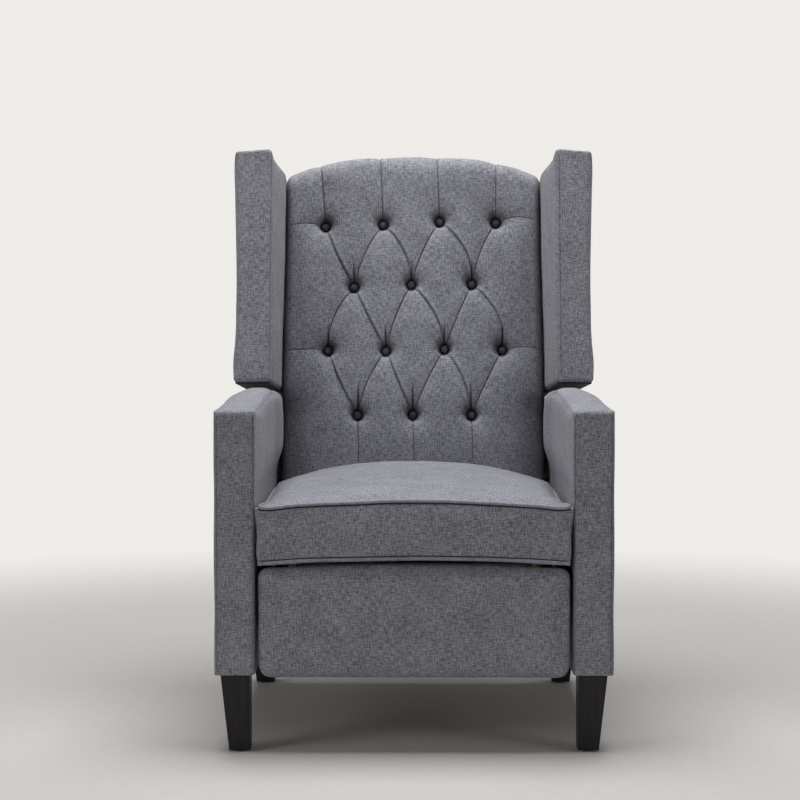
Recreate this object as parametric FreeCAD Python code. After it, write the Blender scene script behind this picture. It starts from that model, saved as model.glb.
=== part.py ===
import FreeCAD, Part
import math
import os

# Push-back wing recliner. Millimetres, +Z up, the sitter faces -Y.
# The origin lies on the floor, in the middle of the width and of the depth.

os.makedirs("parts", exist_ok=True)
V = FreeCAD.Vector

# Overall sizes
DEPTH = 820.0
INNER_WIDTH = 544.0
ARM_WIDTH = 68.0
LEG_HEIGHT = 137.0
OVERALL_HEIGHT = 1066.0
SEAT_OVERHANG = 8.0
FIT = 0.3
CUT = 4.0

# Arms: upholstery over a wooden frame
ARM_LENGTH = 670.0
ARM_TOP = 600.0
ARM_SHOULDER_DROP = 17.0
ARM_INNER_DROP = 12.0
ARM_APEX_SHARE = 0.42
ARM_FRONT_CROWN_SHARE = 0.35
ARM_REAR_DROP = 24.0
ARM_PAD = 12.0
ARM_TOP_PAD = 34.0
ARM_EDGE_RADIUS = 9.0
ARM_RAIL_HEIGHT = 44.0
ARM_POST_LENGTH = 60.0

# Legs, their bolts and glides
LEG_TOP_SIDE = 50.0
LEG_FOOT_SIDE = 36.0
LEG_INSET = 8.0
LEG_REAR_INSET = 4.0
LEG_REAR_SPLAY = 8.0
GLIDE_THICK = 3.0
GLIDE_RADIUS = 11.0
LEG_BOLT_RADIUS = 4.0
LEG_BOLT_IN_LEG = 40.0
LEG_BOLT_IN_RAIL = 30.0

# Base cross members
CROSS_RAIL_HEIGHT = 40.0
CROSS_RAIL_THICK = 25.0
CROSS_RAIL_SETBACK = 218.0
REAR_BOARD_THICK = 20.0
REAR_BOARD_SETBACK = 18.0
REAR_BOARD_TOP = 292.0

# Steel side mechanism: plates stand in planes, counted inwards from the arm
PLATE = 3.0
PLANE_STEP = 5.0
SWING_PLANE = 1
SEAT_PLANE = 2
CRANK_PLANE = 3
BELL_PLANE = 4
BRACKET_PLANE = 5
SEAT_BOX_PLANE = 6
PIN_RADIUS = 4.0
PIN_PLAY = 0.06
HEAD_RADIUS = 7.0
HEAD_THICK = 1.1
LINK_WIDTH = 20.0
BRACKET_WIDTH = 30.0
BASE_RAIL_HEIGHT = 40.0
BASE_RAIL_RISE = 9.0
BASE_RAIL_SETBACK = 140.0
RAIL_BOLT_RADIUS = 4.0
RAIL_BOLT_HEAD = 7.5
RAIL_BOLT_HEAD_THICK = 1.6
RAIL_BOLT_LENGTH = 34.0
RAIL_BOLT_END = 30.0

# Recline linkage: the seat hangs on swing links and on the back's lower pins
RECLINE_PIVOT_SETBACK = 63.0
RECLINE_PIVOT_Z = 420.0
SWING_LENGTH = 70.0
SWING_SETBACK = 187.0
SWING_TOP_Z = 290.0

# Footrest linkage, in distances ahead and above
FOOTREST_PIVOT_SETBACK = 31.0
FOOTREST_PIVOT_Z = 220.0
BELL_REACH = 200.0
BELL_RISE = 102.0
CRANK_REACH = 160.0
CRANK_HEIGHT = 180.0
LINK_SPACING = 65.0
EAR_REACH = 13.0
EAR_RISE = 53.5

# Seat box and cushion
SEAT_RAIL = 22.0
SEAT_RAIL_HEIGHT = 68.0
SEAT_RAIL_TOP = 308.0
SEAT_RAIL_GAP = 5.0
SEAT_BOX_SETBACK = 128.0
SPRING_WIRE = 3.2
SPRING_COUNT = 4
SPRING_BEND = 14.0
SPRING_LOOP = 30.0
FELT_THICK = 7.0
FLANGE_SETBACK = 85.0
FLANGE_WIDTH = 38.0
CUSHION_SIDE_GAP = 5.0
CUSHION_FRONT_TOP = 424.0
CUSHION_CROWN_FRONT = 9.0
CUSHION_CROWN_REAR = 42.0
CUSHION_REAR_TOP = 419.0
CUSHION_ROUND = 13.0
CUSHION_SIDE_BULGE = 2.0
CUSHION_DRAW_IN = 3.0
CUSHION_BACK_GAP = 2.0

# Footrest
FOOTREST_SIDE_GAP = 6.5
FOOTREST_BOTTOM = 130.0
FOOTREST_TOP_GAP = 2.5
FOOTREST_BOARD = 12.0
FOOTREST_BOARD_INSET = 16.0
FOOTREST_PAD = 28.0
FOOTREST_CROWN = 4.0
FOOTREST_ROUND = 11.0
FOOTREST_FLANGE = 24.0

# Back: frame, webbing, tufted cushion, outside panel
BACK_LEAN = 13.0
BACK_SIDE_GAP = 12.0
BACK_REFERENCE_Z = 450.0
BACK_PAD = 88.0
BACK_WEBBING = 2.0
BACK_FRAME = 45.0
BACK_PANEL = 24.0
BACK_PANEL_CROWN = 8.0
BACK_RAIL = 35.0
BACK_RAIL_INSET = 4.0
BACK_TOP_RAIL = 60.0
BACK_RAIL_BOTTOM = -104.0
BACK_CUSHION_BOTTOM = -52.0
BACK_CUSHION_TOP_GAP = 8.0
BACK_CUSHION_ARCH = 42.0
BACK_CUSHION_CROWN = 24.0
BACK_CUSHION_ROUND = 34.0
WEBBING_COUNT = 4
WEBBING_WIDTH = 50.0
HINGE_PLATE_WIDTH = 34.0
HINGE_SPACER_LOW = 34.0
HINGE_SPACER_HIGH = 120.0

# Tufting: rows of buttons in fabric wells, joined by pleats
TUFT_ROW_COUNTS = (3, 4, 3, 4)
TUFT_PITCH = 113.0
TUFT_ROW_PITCH = 127.0
TUFT_FIRST_ROW = 100.0
WELL_RADIUS = 24.0
WELL_DEPTH = 22.0
WELL_FLOOR_RADIUS = 9.0
PLEAT_WIDTH = 13.0
PLEAT_DEPTH = 9.0
BUTTON_RADIUS = 8.0
BUTTON_RIM = 3.0
BUTTON_DOME = 3.5

# Wings
WING_THICK = 70.0
WING_BOTTOM_GAP = 12.0
WING_BOTTOM_AHEAD = 142.0
WING_TOP_AHEAD = 168.0
WING_CREASE_SHARE = 0.8
WING_ROUND = 9.0
WING_PROUD = 2.0
WING_BOARD = 15.0
WING_BOARD_PAD = 24.0

# Derived places
HALF_IN = INNER_WIDTH / 2
HALF_OUT = HALF_IN + ARM_WIDTH
FRONT = -DEPTH / 2
ARM_FRONT = FRONT + SEAT_OVERHANG
ARM_REAR = ARM_FRONT + ARM_LENGTH
SIDES = (-1, 1)
SWING_AHEAD = -ARM_FRONT - SWING_SETBACK
BASE_RAIL_FRONT = -ARM_FRONT - BASE_RAIL_SETBACK
RECLINE_PIVOT_Y = ARM_REAR - RECLINE_PIVOT_SETBACK
SEAT_BOX_REAR = SEAT_BOX_SETBACK - ARM_REAR
FLANGE_FRONT = SWING_AHEAD - FLANGE_SETBACK
CROSS_RAIL_Y = ARM_REAR - CROSS_RAIL_SETBACK
BACK_HALF = HALF_IN - BACK_SIDE_GAP


def save(name, solids):
    shape = solids[0] if len(solids) == 1 else Part.makeCompound(solids)
    shape.exportStep(os.path.join("parts", name + ".step"))
    print(name, len(shape.Solids), "solids, valid", shape.isValid(), "volume", round(shape.Volume))


def box(x0, x1, y0, y1, z0, z1):
    low = V(min(x0, x1), min(y0, y1), min(z0, z1))
    return Part.makeBox(abs(x1 - x0), abs(y1 - y0), abs(z1 - z0), low)


def mirrored(shape):
    return shape.mirror(V(0, 0, 0), V(1, 0, 0))


def both_sides(shape):
    return [mirrored(shape), shape]


def prism(points, direction):
    wire = Part.makePolygon(list(points) + [points[0]])
    return Part.Face(wire).extrude(direction)


def at(ahead, up):
    """A point of the side view: how far ahead of the origin, and how high."""
    return V(0, -ahead, up)


def plane_outer(plane):
    return HALF_IN - plane * PLANE_STEP


def disc(centre, radius, x_outer, thick):
    return Part.makeCylinder(radius, thick, V(x_outer - thick, centre.y, centre.z), V(1, 0, 0))


def bar(a, b, width, plane):
    """A flat link with round ends from a to b, in one plane of the mechanism."""
    outer = plane_outer(plane)
    along = b - a
    side = V(0, -along.z, along.y).normalize() * (width / 2)
    corners = [p + V(outer - PLATE, 0, 0) for p in (a + side, b + side, b - side, a - side)]
    body = prism(corners, V(PLATE, 0, 0))
    ends = [disc(p, width / 2, outer, PLATE) for p in (a, b)]
    return body.fuse(ends).removeSplitter()


def drilled(shape, centres, plane, radius=PIN_RADIUS + PIN_PLAY):
    outer = plane_outer(plane) + CUT
    holes = [disc(c, radius, outer, PLATE + CUT * 2) for c in centres]
    return shape.cut(Part.makeCompound(holes))


def pin(centre, outer_plane, inner_plane, outer_head=True):
    """A rivet through two plates, with a running gap under each head."""
    start = plane_outer(outer_plane)
    end = plane_outer(inner_plane) - PLATE
    outer = start + (FIT if outer_head else 0)
    shank = disc(centre, PIN_RADIUS, outer, outer - end + FIT)
    heads = [disc(centre, HEAD_RADIUS, end - FIT, HEAD_THICK)]
    if outer_head:
        heads.append(disc(centre, HEAD_RADIUS, outer + HEAD_THICK, HEAD_THICK))
    return shank.fuse(heads).removeSplitter()


def lean_frame(shape):
    """Turns a shape drawn upright to the lean of the back."""
    turned = shape.copy()
    turned.rotate(V(0, 0, 0), V(1, 0, 0), -BACK_LEAN)
    turned.translate(V(0, BACK_Y, BACK_REFERENCE_Z))
    return turned


LEAN_SIN = math.sin(math.radians(BACK_LEAN))
LEAN_COS = math.cos(math.radians(BACK_LEAN))
BACK_THICK = BACK_PAD + BACK_WEBBING + BACK_FRAME + BACK_PANEL
WING_TOP = (OVERALL_HEIGHT - BACK_REFERENCE_Z) / LEAN_COS - WING_TOP_AHEAD * LEAN_SIN
BACK_CUSHION_TOP = WING_TOP - BACK_CUSHION_TOP_GAP
BACK_TOP = BACK_CUSHION_TOP + BACK_CUSHION_ARCH
BACK_Y = DEPTH / 2 - BACK_TOP * LEAN_SIN - BACK_THICK * LEAN_COS


# Arms
def arm_section(y, drop, crown_share=1):
    """The arm's outline across its length, with a crowned top that flattens towards the front."""
    shoulder = ARM_TOP - ARM_SHOULDER_DROP - drop
    inner_top = V(HALF_IN, y, shoulder + (ARM_SHOULDER_DROP - ARM_INNER_DROP) * crown_share)
    apex = V(HALF_IN + ARM_WIDTH * ARM_APEX_SHARE, y, shoulder + ARM_SHOULDER_DROP * crown_share)
    outer_top = V(HALF_OUT, y, shoulder)
    outer_low = V(HALF_OUT, y, LEG_HEIGHT)
    inner_low = V(HALF_IN, y, LEG_HEIGHT)
    edges = [
        Part.makeLine(inner_low, inner_top),
        Part.Arc(inner_top, apex, outer_top).toShape(),
        Part.makeLine(outer_top, outer_low),
        Part.makeLine(outer_low, inner_low),
    ]
    return Part.Wire(edges)


WING_FOOT_SHIFT = (ARM_TOP - BACK_REFERENCE_Z) * math.tan(math.radians(BACK_LEAN))
WING_FRONT_BOTTOM_Y = BACK_Y + WING_FOOT_SHIFT - WING_BOTTOM_AHEAD
ARM_CAVITY_INNER = HALF_IN + ARM_PAD
ARM_CAVITY_OUTER = HALF_OUT - ARM_PAD
ARM_CAVITY_TOP = ARM_TOP - ARM_REAR_DROP - ARM_TOP_PAD
ARM_CAVITY_FRONT = ARM_FRONT + ARM_PAD
ARM_CAVITY_REAR = ARM_REAR - ARM_PAD


def is_front_edge(edge):
    ends = [v.Point for v in edge.Vertexes]
    on_front = all(abs(p.y - ARM_FRONT) < FIT for p in ends)
    return on_front and not all(abs(p.z - LEG_HEIGHT) < FIT for p in ends)


def is_top_edge(edge):
    ends = [v.Point for v in edge.Vertexes]
    lengthwise = abs(ends[0].y - ends[-1].y) > ARM_EDGE_RADIUS
    return lengthwise and all(p.z > ARM_CAVITY_TOP for p in ends)


def rail_bolt_places():
    rail_rear = -RECLINE_PIVOT_Y - BRACKET_WIDTH / 2
    z = LEG_HEIGHT + BASE_RAIL_RISE + BASE_RAIL_HEIGHT / 2
    return [at(BASE_RAIL_FRONT - RAIL_BOLT_END, z), at(rail_rear + RAIL_BOLT_END, z)]


def bolt_shanks(play=0.0):
    start = HALF_IN - PLATE - RAIL_BOLT_HEAD_THICK
    return [
        Part.makeCylinder(RAIL_BOLT_RADIUS + play, RAIL_BOLT_LENGTH + play, V(start, p.y, p.z), V(1, 0, 0))
        for p in rail_bolt_places()
    ]


def arm_upholstery():
    sections = [
        arm_section(ARM_FRONT, 0, ARM_FRONT_CROWN_SHARE),
        arm_section(WING_FRONT_BOTTOM_Y, 0),
        arm_section(ARM_REAR, ARM_REAR_DROP),
    ]
    shell = Part.makeLoft(sections, True, True)
    soft_edges = [e for e in shell.Edges if is_front_edge(e) or is_top_edge(e)]
    shell = shell.makeFillet(ARM_EDGE_RADIUS, soft_edges)
    cavity = box(
        ARM_CAVITY_INNER,
        ARM_CAVITY_OUTER,
        ARM_CAVITY_FRONT,
        ARM_CAVITY_REAR,
        LEG_HEIGHT - CUT,
        ARM_CAVITY_TOP,
    )
    return shell.cut(Part.makeCompound([cavity] + bolt_shanks(PIN_PLAY)))


def arm_frame_piece(y0, y1, z0, z1):
    return box(ARM_CAVITY_INNER, ARM_CAVITY_OUTER, y0, y1, z0, z1)


def arm_bottom_rail():
    rail = arm_frame_piece(ARM_CAVITY_FRONT, ARM_CAVITY_REAR, LEG_HEIGHT, LEG_HEIGHT + ARM_RAIL_HEIGHT)
    bores = bolt_shanks(PIN_PLAY) + leg_bolt_shanks(PIN_PLAY)
    return rail.cut(Part.makeCompound(bores))


# Legs
LEG_INNER = HALF_IN + LEG_INSET
LEG_FRONT_Y = ARM_FRONT + LEG_INSET
LEG_REAR_Y = ARM_REAR - LEG_REAR_INSET


def leg_centre_y(front):
    half = LEG_TOP_SIDE / 2
    return LEG_FRONT_Y + half if front else LEG_REAR_Y - half


def square_wire(x0, y0, side, z):
    corners = [V(x0, y0, z), V(x0 + side, y0, z), V(x0 + side, y0 + side, z), V(x0, y0 + side, z)]
    return Part.makePolygon(corners + [corners[0]])


def leg(front):
    """A tapered square leg: its inner side stays plumb, its outer side draws in."""
    centre = leg_centre_y(front)
    splay = 0 if front else LEG_REAR_SPLAY
    top = square_wire(LEG_INNER, centre - LEG_TOP_SIDE / 2, LEG_TOP_SIDE, LEG_HEIGHT)
    foot = square_wire(LEG_INNER, centre - LEG_FOOT_SIDE / 2 + splay, LEG_FOOT_SIDE, GLIDE_THICK)
    return Part.makeLoft([foot, top], True, True).cut(leg_bolt(front, PIN_PLAY))


def leg_bolt(front, play=0.0):
    base = V(LEG_INNER + LEG_TOP_SIDE / 2, leg_centre_y(front), LEG_HEIGHT - LEG_BOLT_IN_LEG - play)
    return Part.makeCylinder(LEG_BOLT_RADIUS + play, LEG_BOLT_IN_LEG + LEG_BOLT_IN_RAIL + play * 2, base)


def leg_bolt_shanks(play):
    return [leg_bolt(front, play) for front in (True, False)]


def glide(front):
    centre = V(LEG_INNER + LEG_FOOT_SIDE / 2, leg_centre_y(front) + (0 if front else LEG_REAR_SPLAY), 0)
    return Part.makeCylinder(GLIDE_RADIUS, GLIDE_THICK, centre)


save("arm_left", [mirrored(arm_upholstery())])
save("arm_right", [arm_upholstery()])
save("arm_bottom_rails", both_sides(arm_bottom_rail()))
rail_top = LEG_HEIGHT + ARM_RAIL_HEIGHT
top_rail_low = ARM_CAVITY_TOP - ARM_RAIL_HEIGHT
top_rail = arm_frame_piece(ARM_CAVITY_FRONT, ARM_CAVITY_REAR, top_rail_low, ARM_CAVITY_TOP)
save("arm_top_rails", both_sides(top_rail))
save(
    "arm_front_posts",
    both_sides(arm_frame_piece(ARM_CAVITY_FRONT, ARM_CAVITY_FRONT + ARM_POST_LENGTH, rail_top, top_rail_low)),
)
save(
    "arm_rear_posts",
    both_sides(arm_frame_piece(ARM_CAVITY_REAR - ARM_POST_LENGTH, ARM_CAVITY_REAR, rail_top, top_rail_low)),
)
save("front_legs", both_sides(leg(True)))
save("rear_legs", both_sides(leg(False)))
save("leg_bolts", [s for front in (True, False) for s in both_sides(leg_bolt(front))])
save("leg_glides", [s for front in (True, False) for s in both_sides(glide(front))])

# Base cross members, between the arms
REAR_BOARD_Y = ARM_REAR - REAR_BOARD_SETBACK
BASE_RAIL_LOW = LEG_HEIGHT + BASE_RAIL_RISE
CROSS_HALF = HALF_IN - PLATE
rear_board = box(-HALF_IN, HALF_IN, REAR_BOARD_Y - REAR_BOARD_THICK, REAR_BOARD_Y, LEG_HEIGHT, REAR_BOARD_TOP)
soft_rim = [e for e in rear_board.Edges if abs(e.CenterOfMass.y - REAR_BOARD_Y) < FIT]
save("rear_board", [rear_board.makeFillet(REAR_BOARD_THICK / 4, soft_rim)])
save(
    "base_cross_rail",
    [
        box(
            -CROSS_HALF,
            CROSS_HALF,
            CROSS_RAIL_Y,
            CROSS_RAIL_Y + CROSS_RAIL_THICK,
            BASE_RAIL_LOW,
            BASE_RAIL_LOW + CROSS_RAIL_HEIGHT,
        )
    ],
)

# Fixed plates of the mechanism
BASE_RAIL_TOP = BASE_RAIL_LOW + BASE_RAIL_HEIGHT
SWING_TOP = at(SWING_AHEAD, SWING_TOP_Z)
SWING_LOW = at(SWING_AHEAD, SWING_TOP_Z - SWING_LENGTH)
RECLINE_PIVOT = at(-RECLINE_PIVOT_Y, RECLINE_PIVOT_Z)
RECLINE_LOW = at(-RECLINE_PIVOT_Y, RECLINE_PIVOT_Z - SWING_LENGTH)


def base_rail():
    rear = -RECLINE_PIVOT_Y - BRACKET_WIDTH / 2
    strip = box(HALF_IN - PLATE, HALF_IN, -BASE_RAIL_FRONT, -rear, BASE_RAIL_LOW, BASE_RAIL_TOP)
    return drilled(strip, rail_bolt_places(), 0, RAIL_BOLT_RADIUS + PIN_PLAY)


def upright(pivot):
    """A plate that stands on the base rail and carries one pivot."""
    foot = V(0, pivot.y, BASE_RAIL_TOP)
    post = box(
        HALF_IN - PLATE,
        HALF_IN,
        foot.y - BRACKET_WIDTH / 2,
        foot.y + BRACKET_WIDTH / 2,
        BASE_RAIL_TOP,
        pivot.z,
    )
    plate = post.fuse(disc(pivot, BRACKET_WIDTH / 2, HALF_IN, PLATE)).removeSplitter()
    return drilled(plate, [pivot], 0)


def rail_bolt_heads():
    start = HALF_IN - PLATE
    return [disc(p, RAIL_BOLT_HEAD, start, RAIL_BOLT_HEAD_THICK) for p in rail_bolt_places()]


bolts = [head.fuse(shank).removeSplitter() for head, shank in zip(rail_bolt_heads(), bolt_shanks())]
save("mechanism_rails", both_sides(base_rail()))
save("swing_brackets", both_sides(upright(SWING_TOP)))
save("back_hinge_brackets", both_sides(upright(RECLINE_PIVOT)))
save("mechanism_bolts", [s for bolt in bolts for s in both_sides(bolt)])
base_pins = [pin(p, 0, SWING_PLANE, outer_head=False) for p in (SWING_TOP, RECLINE_PIVOT)]
save("base_pivot_pins", [s for one in base_pins for s in both_sides(one)])

# Swing links
swing_bar = bar(SWING_TOP, SWING_LOW, LINK_WIDTH, SWING_PLANE)
swing = drilled(swing_bar, [SWING_TOP, SWING_LOW], SWING_PLANE)
save("swing_links", both_sides(swing))

# Footrest linkage: its pivots, from the footrest's own pivot back to the seat
BOARD_BACK = -ARM_FRONT - FOOTREST_PAD - FOOTREST_BOARD
PIVOT_E = at(BOARD_BACK - FOOTREST_PIVOT_SETBACK, FOOTREST_PIVOT_Z)
PIVOT_X = PIVOT_E - at(BELL_REACH, BELL_RISE)
PIVOT_B = PIVOT_X + at(CRANK_REACH, CRANK_HEIGHT)
PIVOT_A = PIVOT_B + at(LINK_SPACING, 0)
PIVOT_P = PIVOT_X + at(LINK_SPACING, 0)
PIVOT_Q = PIVOT_X + at(EAR_REACH, EAR_RISE)
PIVOT_F = PIVOT_E + at(EAR_REACH, EAR_RISE)


def ear(a, tip, b):
    """The web of a three-pivot link: a flat triangle between its pivots."""
    outer = plane_outer(CRANK_PLANE)
    return prism([p + V(outer - PLATE, 0, 0) for p in (a, tip, b)], V(PLATE, 0, 0))


def crank_link():
    body = bar(PIVOT_B, PIVOT_X, LINK_WIDTH, CRANK_PLANE)
    lobe = bar(PIVOT_X, PIVOT_Q, LINK_WIDTH, CRANK_PLANE)
    link = body.fuse([lobe, ear(PIVOT_B, PIVOT_Q, PIVOT_X)]).removeSplitter()
    return drilled(link, [PIVOT_B, PIVOT_X, PIVOT_Q], CRANK_PLANE)


def bell_link():
    foot = bar(PIVOT_X, PIVOT_P, LINK_WIDTH, BELL_PLANE)
    body = foot.fuse(bar(PIVOT_P, PIVOT_E, LINK_WIDTH, BELL_PLANE)).removeSplitter()
    return drilled(body, [PIVOT_X, PIVOT_P, PIVOT_E], BELL_PLANE)


lift = drilled(bar(PIVOT_A, PIVOT_P, LINK_WIDTH, CRANK_PLANE), [PIVOT_A, PIVOT_P], CRANK_PLANE)
guide = drilled(bar(PIVOT_Q, PIVOT_F, LINK_WIDTH, BELL_PLANE), [PIVOT_Q, PIVOT_F], BELL_PLANE)
save("footrest_crank_links", both_sides(crank_link()))
save("footrest_lift_links", both_sides(lift))
save("footrest_bell_links", both_sides(bell_link()))
save("footrest_guide_links", both_sides(guide))
crank_pins = [pin(p, CRANK_PLANE, BELL_PLANE) for p in (PIVOT_X, PIVOT_Q)]
save("crank_pins", [s for one in crank_pins for s in both_sides(one)])
save("lift_pins", both_sides(pin(PIVOT_P, CRANK_PLANE, BELL_PLANE)))

# Footrest: brackets, board and pad
FOOTREST_HALF = HALF_IN - FOOTREST_SIDE_GAP
FELT_TOP = SEAT_RAIL_TOP + SPRING_WIRE + FELT_THICK
FOOTREST_TOP = FELT_TOP - FOOTREST_TOP_GAP
PAD_BACK_Y = -BOARD_BACK - FOOTREST_BOARD


def footrest_bracket():
    outer = plane_outer(BRACKET_PLANE)
    arm = bar(PIVOT_E, PIVOT_F, LINK_WIDTH, BRACKET_PLANE)
    low = PIVOT_E.z - LINK_WIDTH / 2
    high = PIVOT_F.z + LINK_WIDTH / 2
    web = box(outer - PLATE, outer, -BOARD_BACK, PIVOT_E.y, low, high)
    flange = box(outer - FOOTREST_FLANGE, outer, -BOARD_BACK, -BOARD_BACK + PLATE, low, high)
    bracket = arm.fuse([web, flange]).removeSplitter()
    return drilled(bracket, [PIVOT_E, PIVOT_F], BRACKET_PLANE)


def footrest_pad():
    """A padded panel whose front bulges a little between its rounded edges."""
    front = ARM_FRONT
    bulge = front - FOOTREST_CROWN
    edges = [
        Part.Arc(V(-FOOTREST_HALF, front, 0), V(0, bulge, 0), V(FOOTREST_HALF, front, 0)).toShape(),
        Part.makeLine(V(FOOTREST_HALF, front, 0), V(FOOTREST_HALF, PAD_BACK_Y, 0)),
        Part.makeLine(V(FOOTREST_HALF, PAD_BACK_Y, 0), V(-FOOTREST_HALF, PAD_BACK_Y, 0)),
        Part.makeLine(V(-FOOTREST_HALF, PAD_BACK_Y, 0), V(-FOOTREST_HALF, front, 0)),
    ]
    outline = Part.Face(Part.Wire(edges))
    outline.translate(V(0, 0, FOOTREST_BOTTOM))
    pad = outline.extrude(V(0, 0, FOOTREST_TOP - FOOTREST_BOTTOM))
    rim = [e for e in pad.Edges if all(v.Point.y < front + FIT for v in e.Vertexes)]
    return pad.makeFillet(FOOTREST_ROUND, rim)


board_half = FOOTREST_HALF - FOOTREST_BOARD_INSET
footrest_board = box(
    -board_half,
    board_half,
    -BOARD_BACK - FOOTREST_BOARD,
    -BOARD_BACK,
    FOOTREST_BOTTOM + FOOTREST_BOARD_INSET,
    FOOTREST_TOP - FOOTREST_BOARD_INSET,
)
save("footrest_brackets", both_sides(footrest_bracket()))
save("footrest_board", [footrest_board])
save("footrest_pad", [footrest_pad()])
footrest_pins = [pin(p, BELL_PLANE, BRACKET_PLANE) for p in (PIVOT_E, PIVOT_F)]
save("footrest_pins", [s for one in footrest_pins for s in both_sides(one)])

# Seat box
SEAT_BOX_HALF = plane_outer(SEAT_BOX_PLANE) - HEAD_THICK
SEAT_FRONT_AHEAD = BOARD_BACK - SEAT_RAIL_GAP
SEAT_RAIL_LOW = SEAT_RAIL_TOP - SEAT_RAIL_HEIGHT


def seat_cross_rail(ahead):
    half = SEAT_BOX_HALF - SEAT_RAIL
    return box(-half, half, -ahead, -ahead + SEAT_RAIL, SEAT_RAIL_LOW, SEAT_RAIL_TOP)


seat_side_rail = box(
    SEAT_BOX_HALF - SEAT_RAIL, SEAT_BOX_HALF, -SEAT_FRONT_AHEAD, -SEAT_BOX_REAR, SEAT_RAIL_LOW, SEAT_RAIL_TOP
)


def seat_plate():
    outer = plane_outer(SEAT_PLANE)
    tail = at(SEAT_BOX_REAR, PIVOT_B.z - PLATE)
    rail = bar(PIVOT_A, tail, LINK_WIDTH, SEAT_PLANE)
    lug = bar(at(SWING_AHEAD, PIVOT_B.z), SWING_LOW, BRACKET_WIDTH, SEAT_PLANE)
    rear_arm = bar(tail, RECLINE_LOW, LINK_WIDTH, SEAT_PLANE)
    flange_top = SEAT_RAIL_TOP + PLATE
    web = box(outer - PLATE, outer, -FLANGE_FRONT, -SEAT_BOX_REAR, PIVOT_B.z, flange_top)
    flange = box(outer - FLANGE_WIDTH, outer, -FLANGE_FRONT, -SEAT_BOX_REAR, SEAT_RAIL_TOP, flange_top)
    plate = rail.fuse([lug, rear_arm, web, flange]).removeSplitter()
    return drilled(plate, [PIVOT_A, PIVOT_B, SWING_LOW, RECLINE_LOW], SEAT_PLANE)


def half_ring(centre, side):
    """One bend of a zigzag spring, open towards its middle line."""
    outer = Part.makeCylinder(SPRING_BEND + SPRING_WIRE / 2, SPRING_WIRE, centre)
    inner = Part.makeCylinder(SPRING_BEND - SPRING_WIRE / 2, SPRING_WIRE, centre)
    reach = SPRING_BEND * 2
    keep = box(
        centre.x,
        centre.x + side * reach,
        centre.y - reach,
        centre.y + reach,
        centre.z,
        centre.z + SPRING_WIRE,
    )
    return outer.cut(inner).common(keep)


def sinuous_spring(x):
    """One zigzag spring: half-circle bends joined by straight legs, front rail to rear rail."""
    span = SEAT_FRONT_AHEAD - SEAT_BOX_REAR
    step = SPRING_BEND * 2
    bends = int((span - SEAT_RAIL) // step)
    first = -SEAT_FRONT_AHEAD + (span - bends * step) / 2
    half = SPRING_LOOP / 2
    wire = SPRING_WIRE / 2
    pieces = []
    for index in range(bends):
        side = 1 if index % 2 else -1
        y = first + index * step
        pieces.append(half_ring(V(x + side * half, y + SPRING_BEND, SEAT_RAIL_TOP), side))
    for index in range(bends + 1):
        y = first + index * step
        pieces.append(box(x - half, x + half, y - wire, y + wire, SEAT_RAIL_TOP, SEAT_RAIL_TOP + SPRING_WIRE))
    return pieces[0].fuse(pieces[1:]).removeSplitter()


felt = box(
    -SEAT_BOX_HALF + FLANGE_WIDTH,
    SEAT_BOX_HALF - FLANGE_WIDTH,
    -SEAT_FRONT_AHEAD,
    -SEAT_BOX_REAR,
    SEAT_RAIL_TOP + SPRING_WIRE,
    FELT_TOP,
)
spring_pitch = (SEAT_BOX_HALF - FLANGE_WIDTH) * 2 / SPRING_COUNT
spring_x = [(index - (SPRING_COUNT - 1) / 2) * spring_pitch for index in range(SPRING_COUNT)]
save("seat_front_rail", [seat_cross_rail(SEAT_FRONT_AHEAD)])
save("seat_rear_rail", [seat_cross_rail(SEAT_BOX_REAR + SEAT_RAIL)])
save("seat_side_rails", both_sides(seat_side_rail))
save("seat_side_plates", both_sides(seat_plate()))
save("seat_springs", [sinuous_spring(x) for x in spring_x])
save("seat_felt", [felt])
seat_pins = [pin(p, SEAT_PLANE, CRANK_PLANE) for p in (PIVOT_A, PIVOT_B)]
seat_pins += [pin(p, SWING_PLANE, SEAT_PLANE) for p in (SWING_LOW, RECLINE_LOW)]
save("seat_pivot_pins", [s for one in seat_pins for s in both_sides(one)])

# Seat cushion: crowned across and rising to the rear
CUSHION_HALF = HALF_IN - CUSHION_SIDE_GAP


def cushion_section(y, top, crown):
    """Flat underside, sides that swell between their drawn-in edges, arched top."""
    low = FELT_TOP
    half = CUSHION_HALF - CUSHION_DRAW_IN
    swell = CUSHION_HALF - CUSHION_DRAW_IN + CUSHION_SIDE_BULGE
    middle = (low + top) / 2
    edges = [
        Part.makeLine(V(-half, y, low), V(half, y, low)),
        Part.Arc(V(half, y, low), V(swell, y, middle), V(half, y, top)).toShape(),
        Part.Arc(V(half, y, top), V(0, y, top + crown), V(-half, y, top)).toShape(),
        Part.Arc(V(-half, y, top), V(-swell, y, middle), V(-half, y, low)).toShape(),
    ]
    return Part.Wire(edges)


def seat_cushion():
    tallest = CUSHION_REAR_TOP + CUSHION_CROWN_REAR
    rear_low = BACK_Y - BACK_CUSHION_CROWN / LEAN_COS - CUSHION_BACK_GAP
    rear_y = rear_low + (tallest - BACK_REFERENCE_Z) * LEAN_SIN / LEAN_COS
    sections = [
        cushion_section(FRONT, CUSHION_FRONT_TOP, CUSHION_CROWN_FRONT),
        cushion_section(rear_y, CUSHION_REAR_TOP, CUSHION_CROWN_REAR),
    ]
    behind = box(-HALF_OUT, HALF_OUT, -BACK_CUSHION_CROWN - CUSHION_BACK_GAP, DEPTH, -DEPTH, DEPTH)
    body = Part.makeLoft(sections, True, True).cut(lean_frame(behind))
    rim = [e for e in body.Edges if all(abs(v.Point.y - FRONT) < FIT for v in e.Vertexes)]
    return body.makeFillet(CUSHION_ROUND, rim)


save("seat_cushion", [seat_cushion()])

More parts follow.
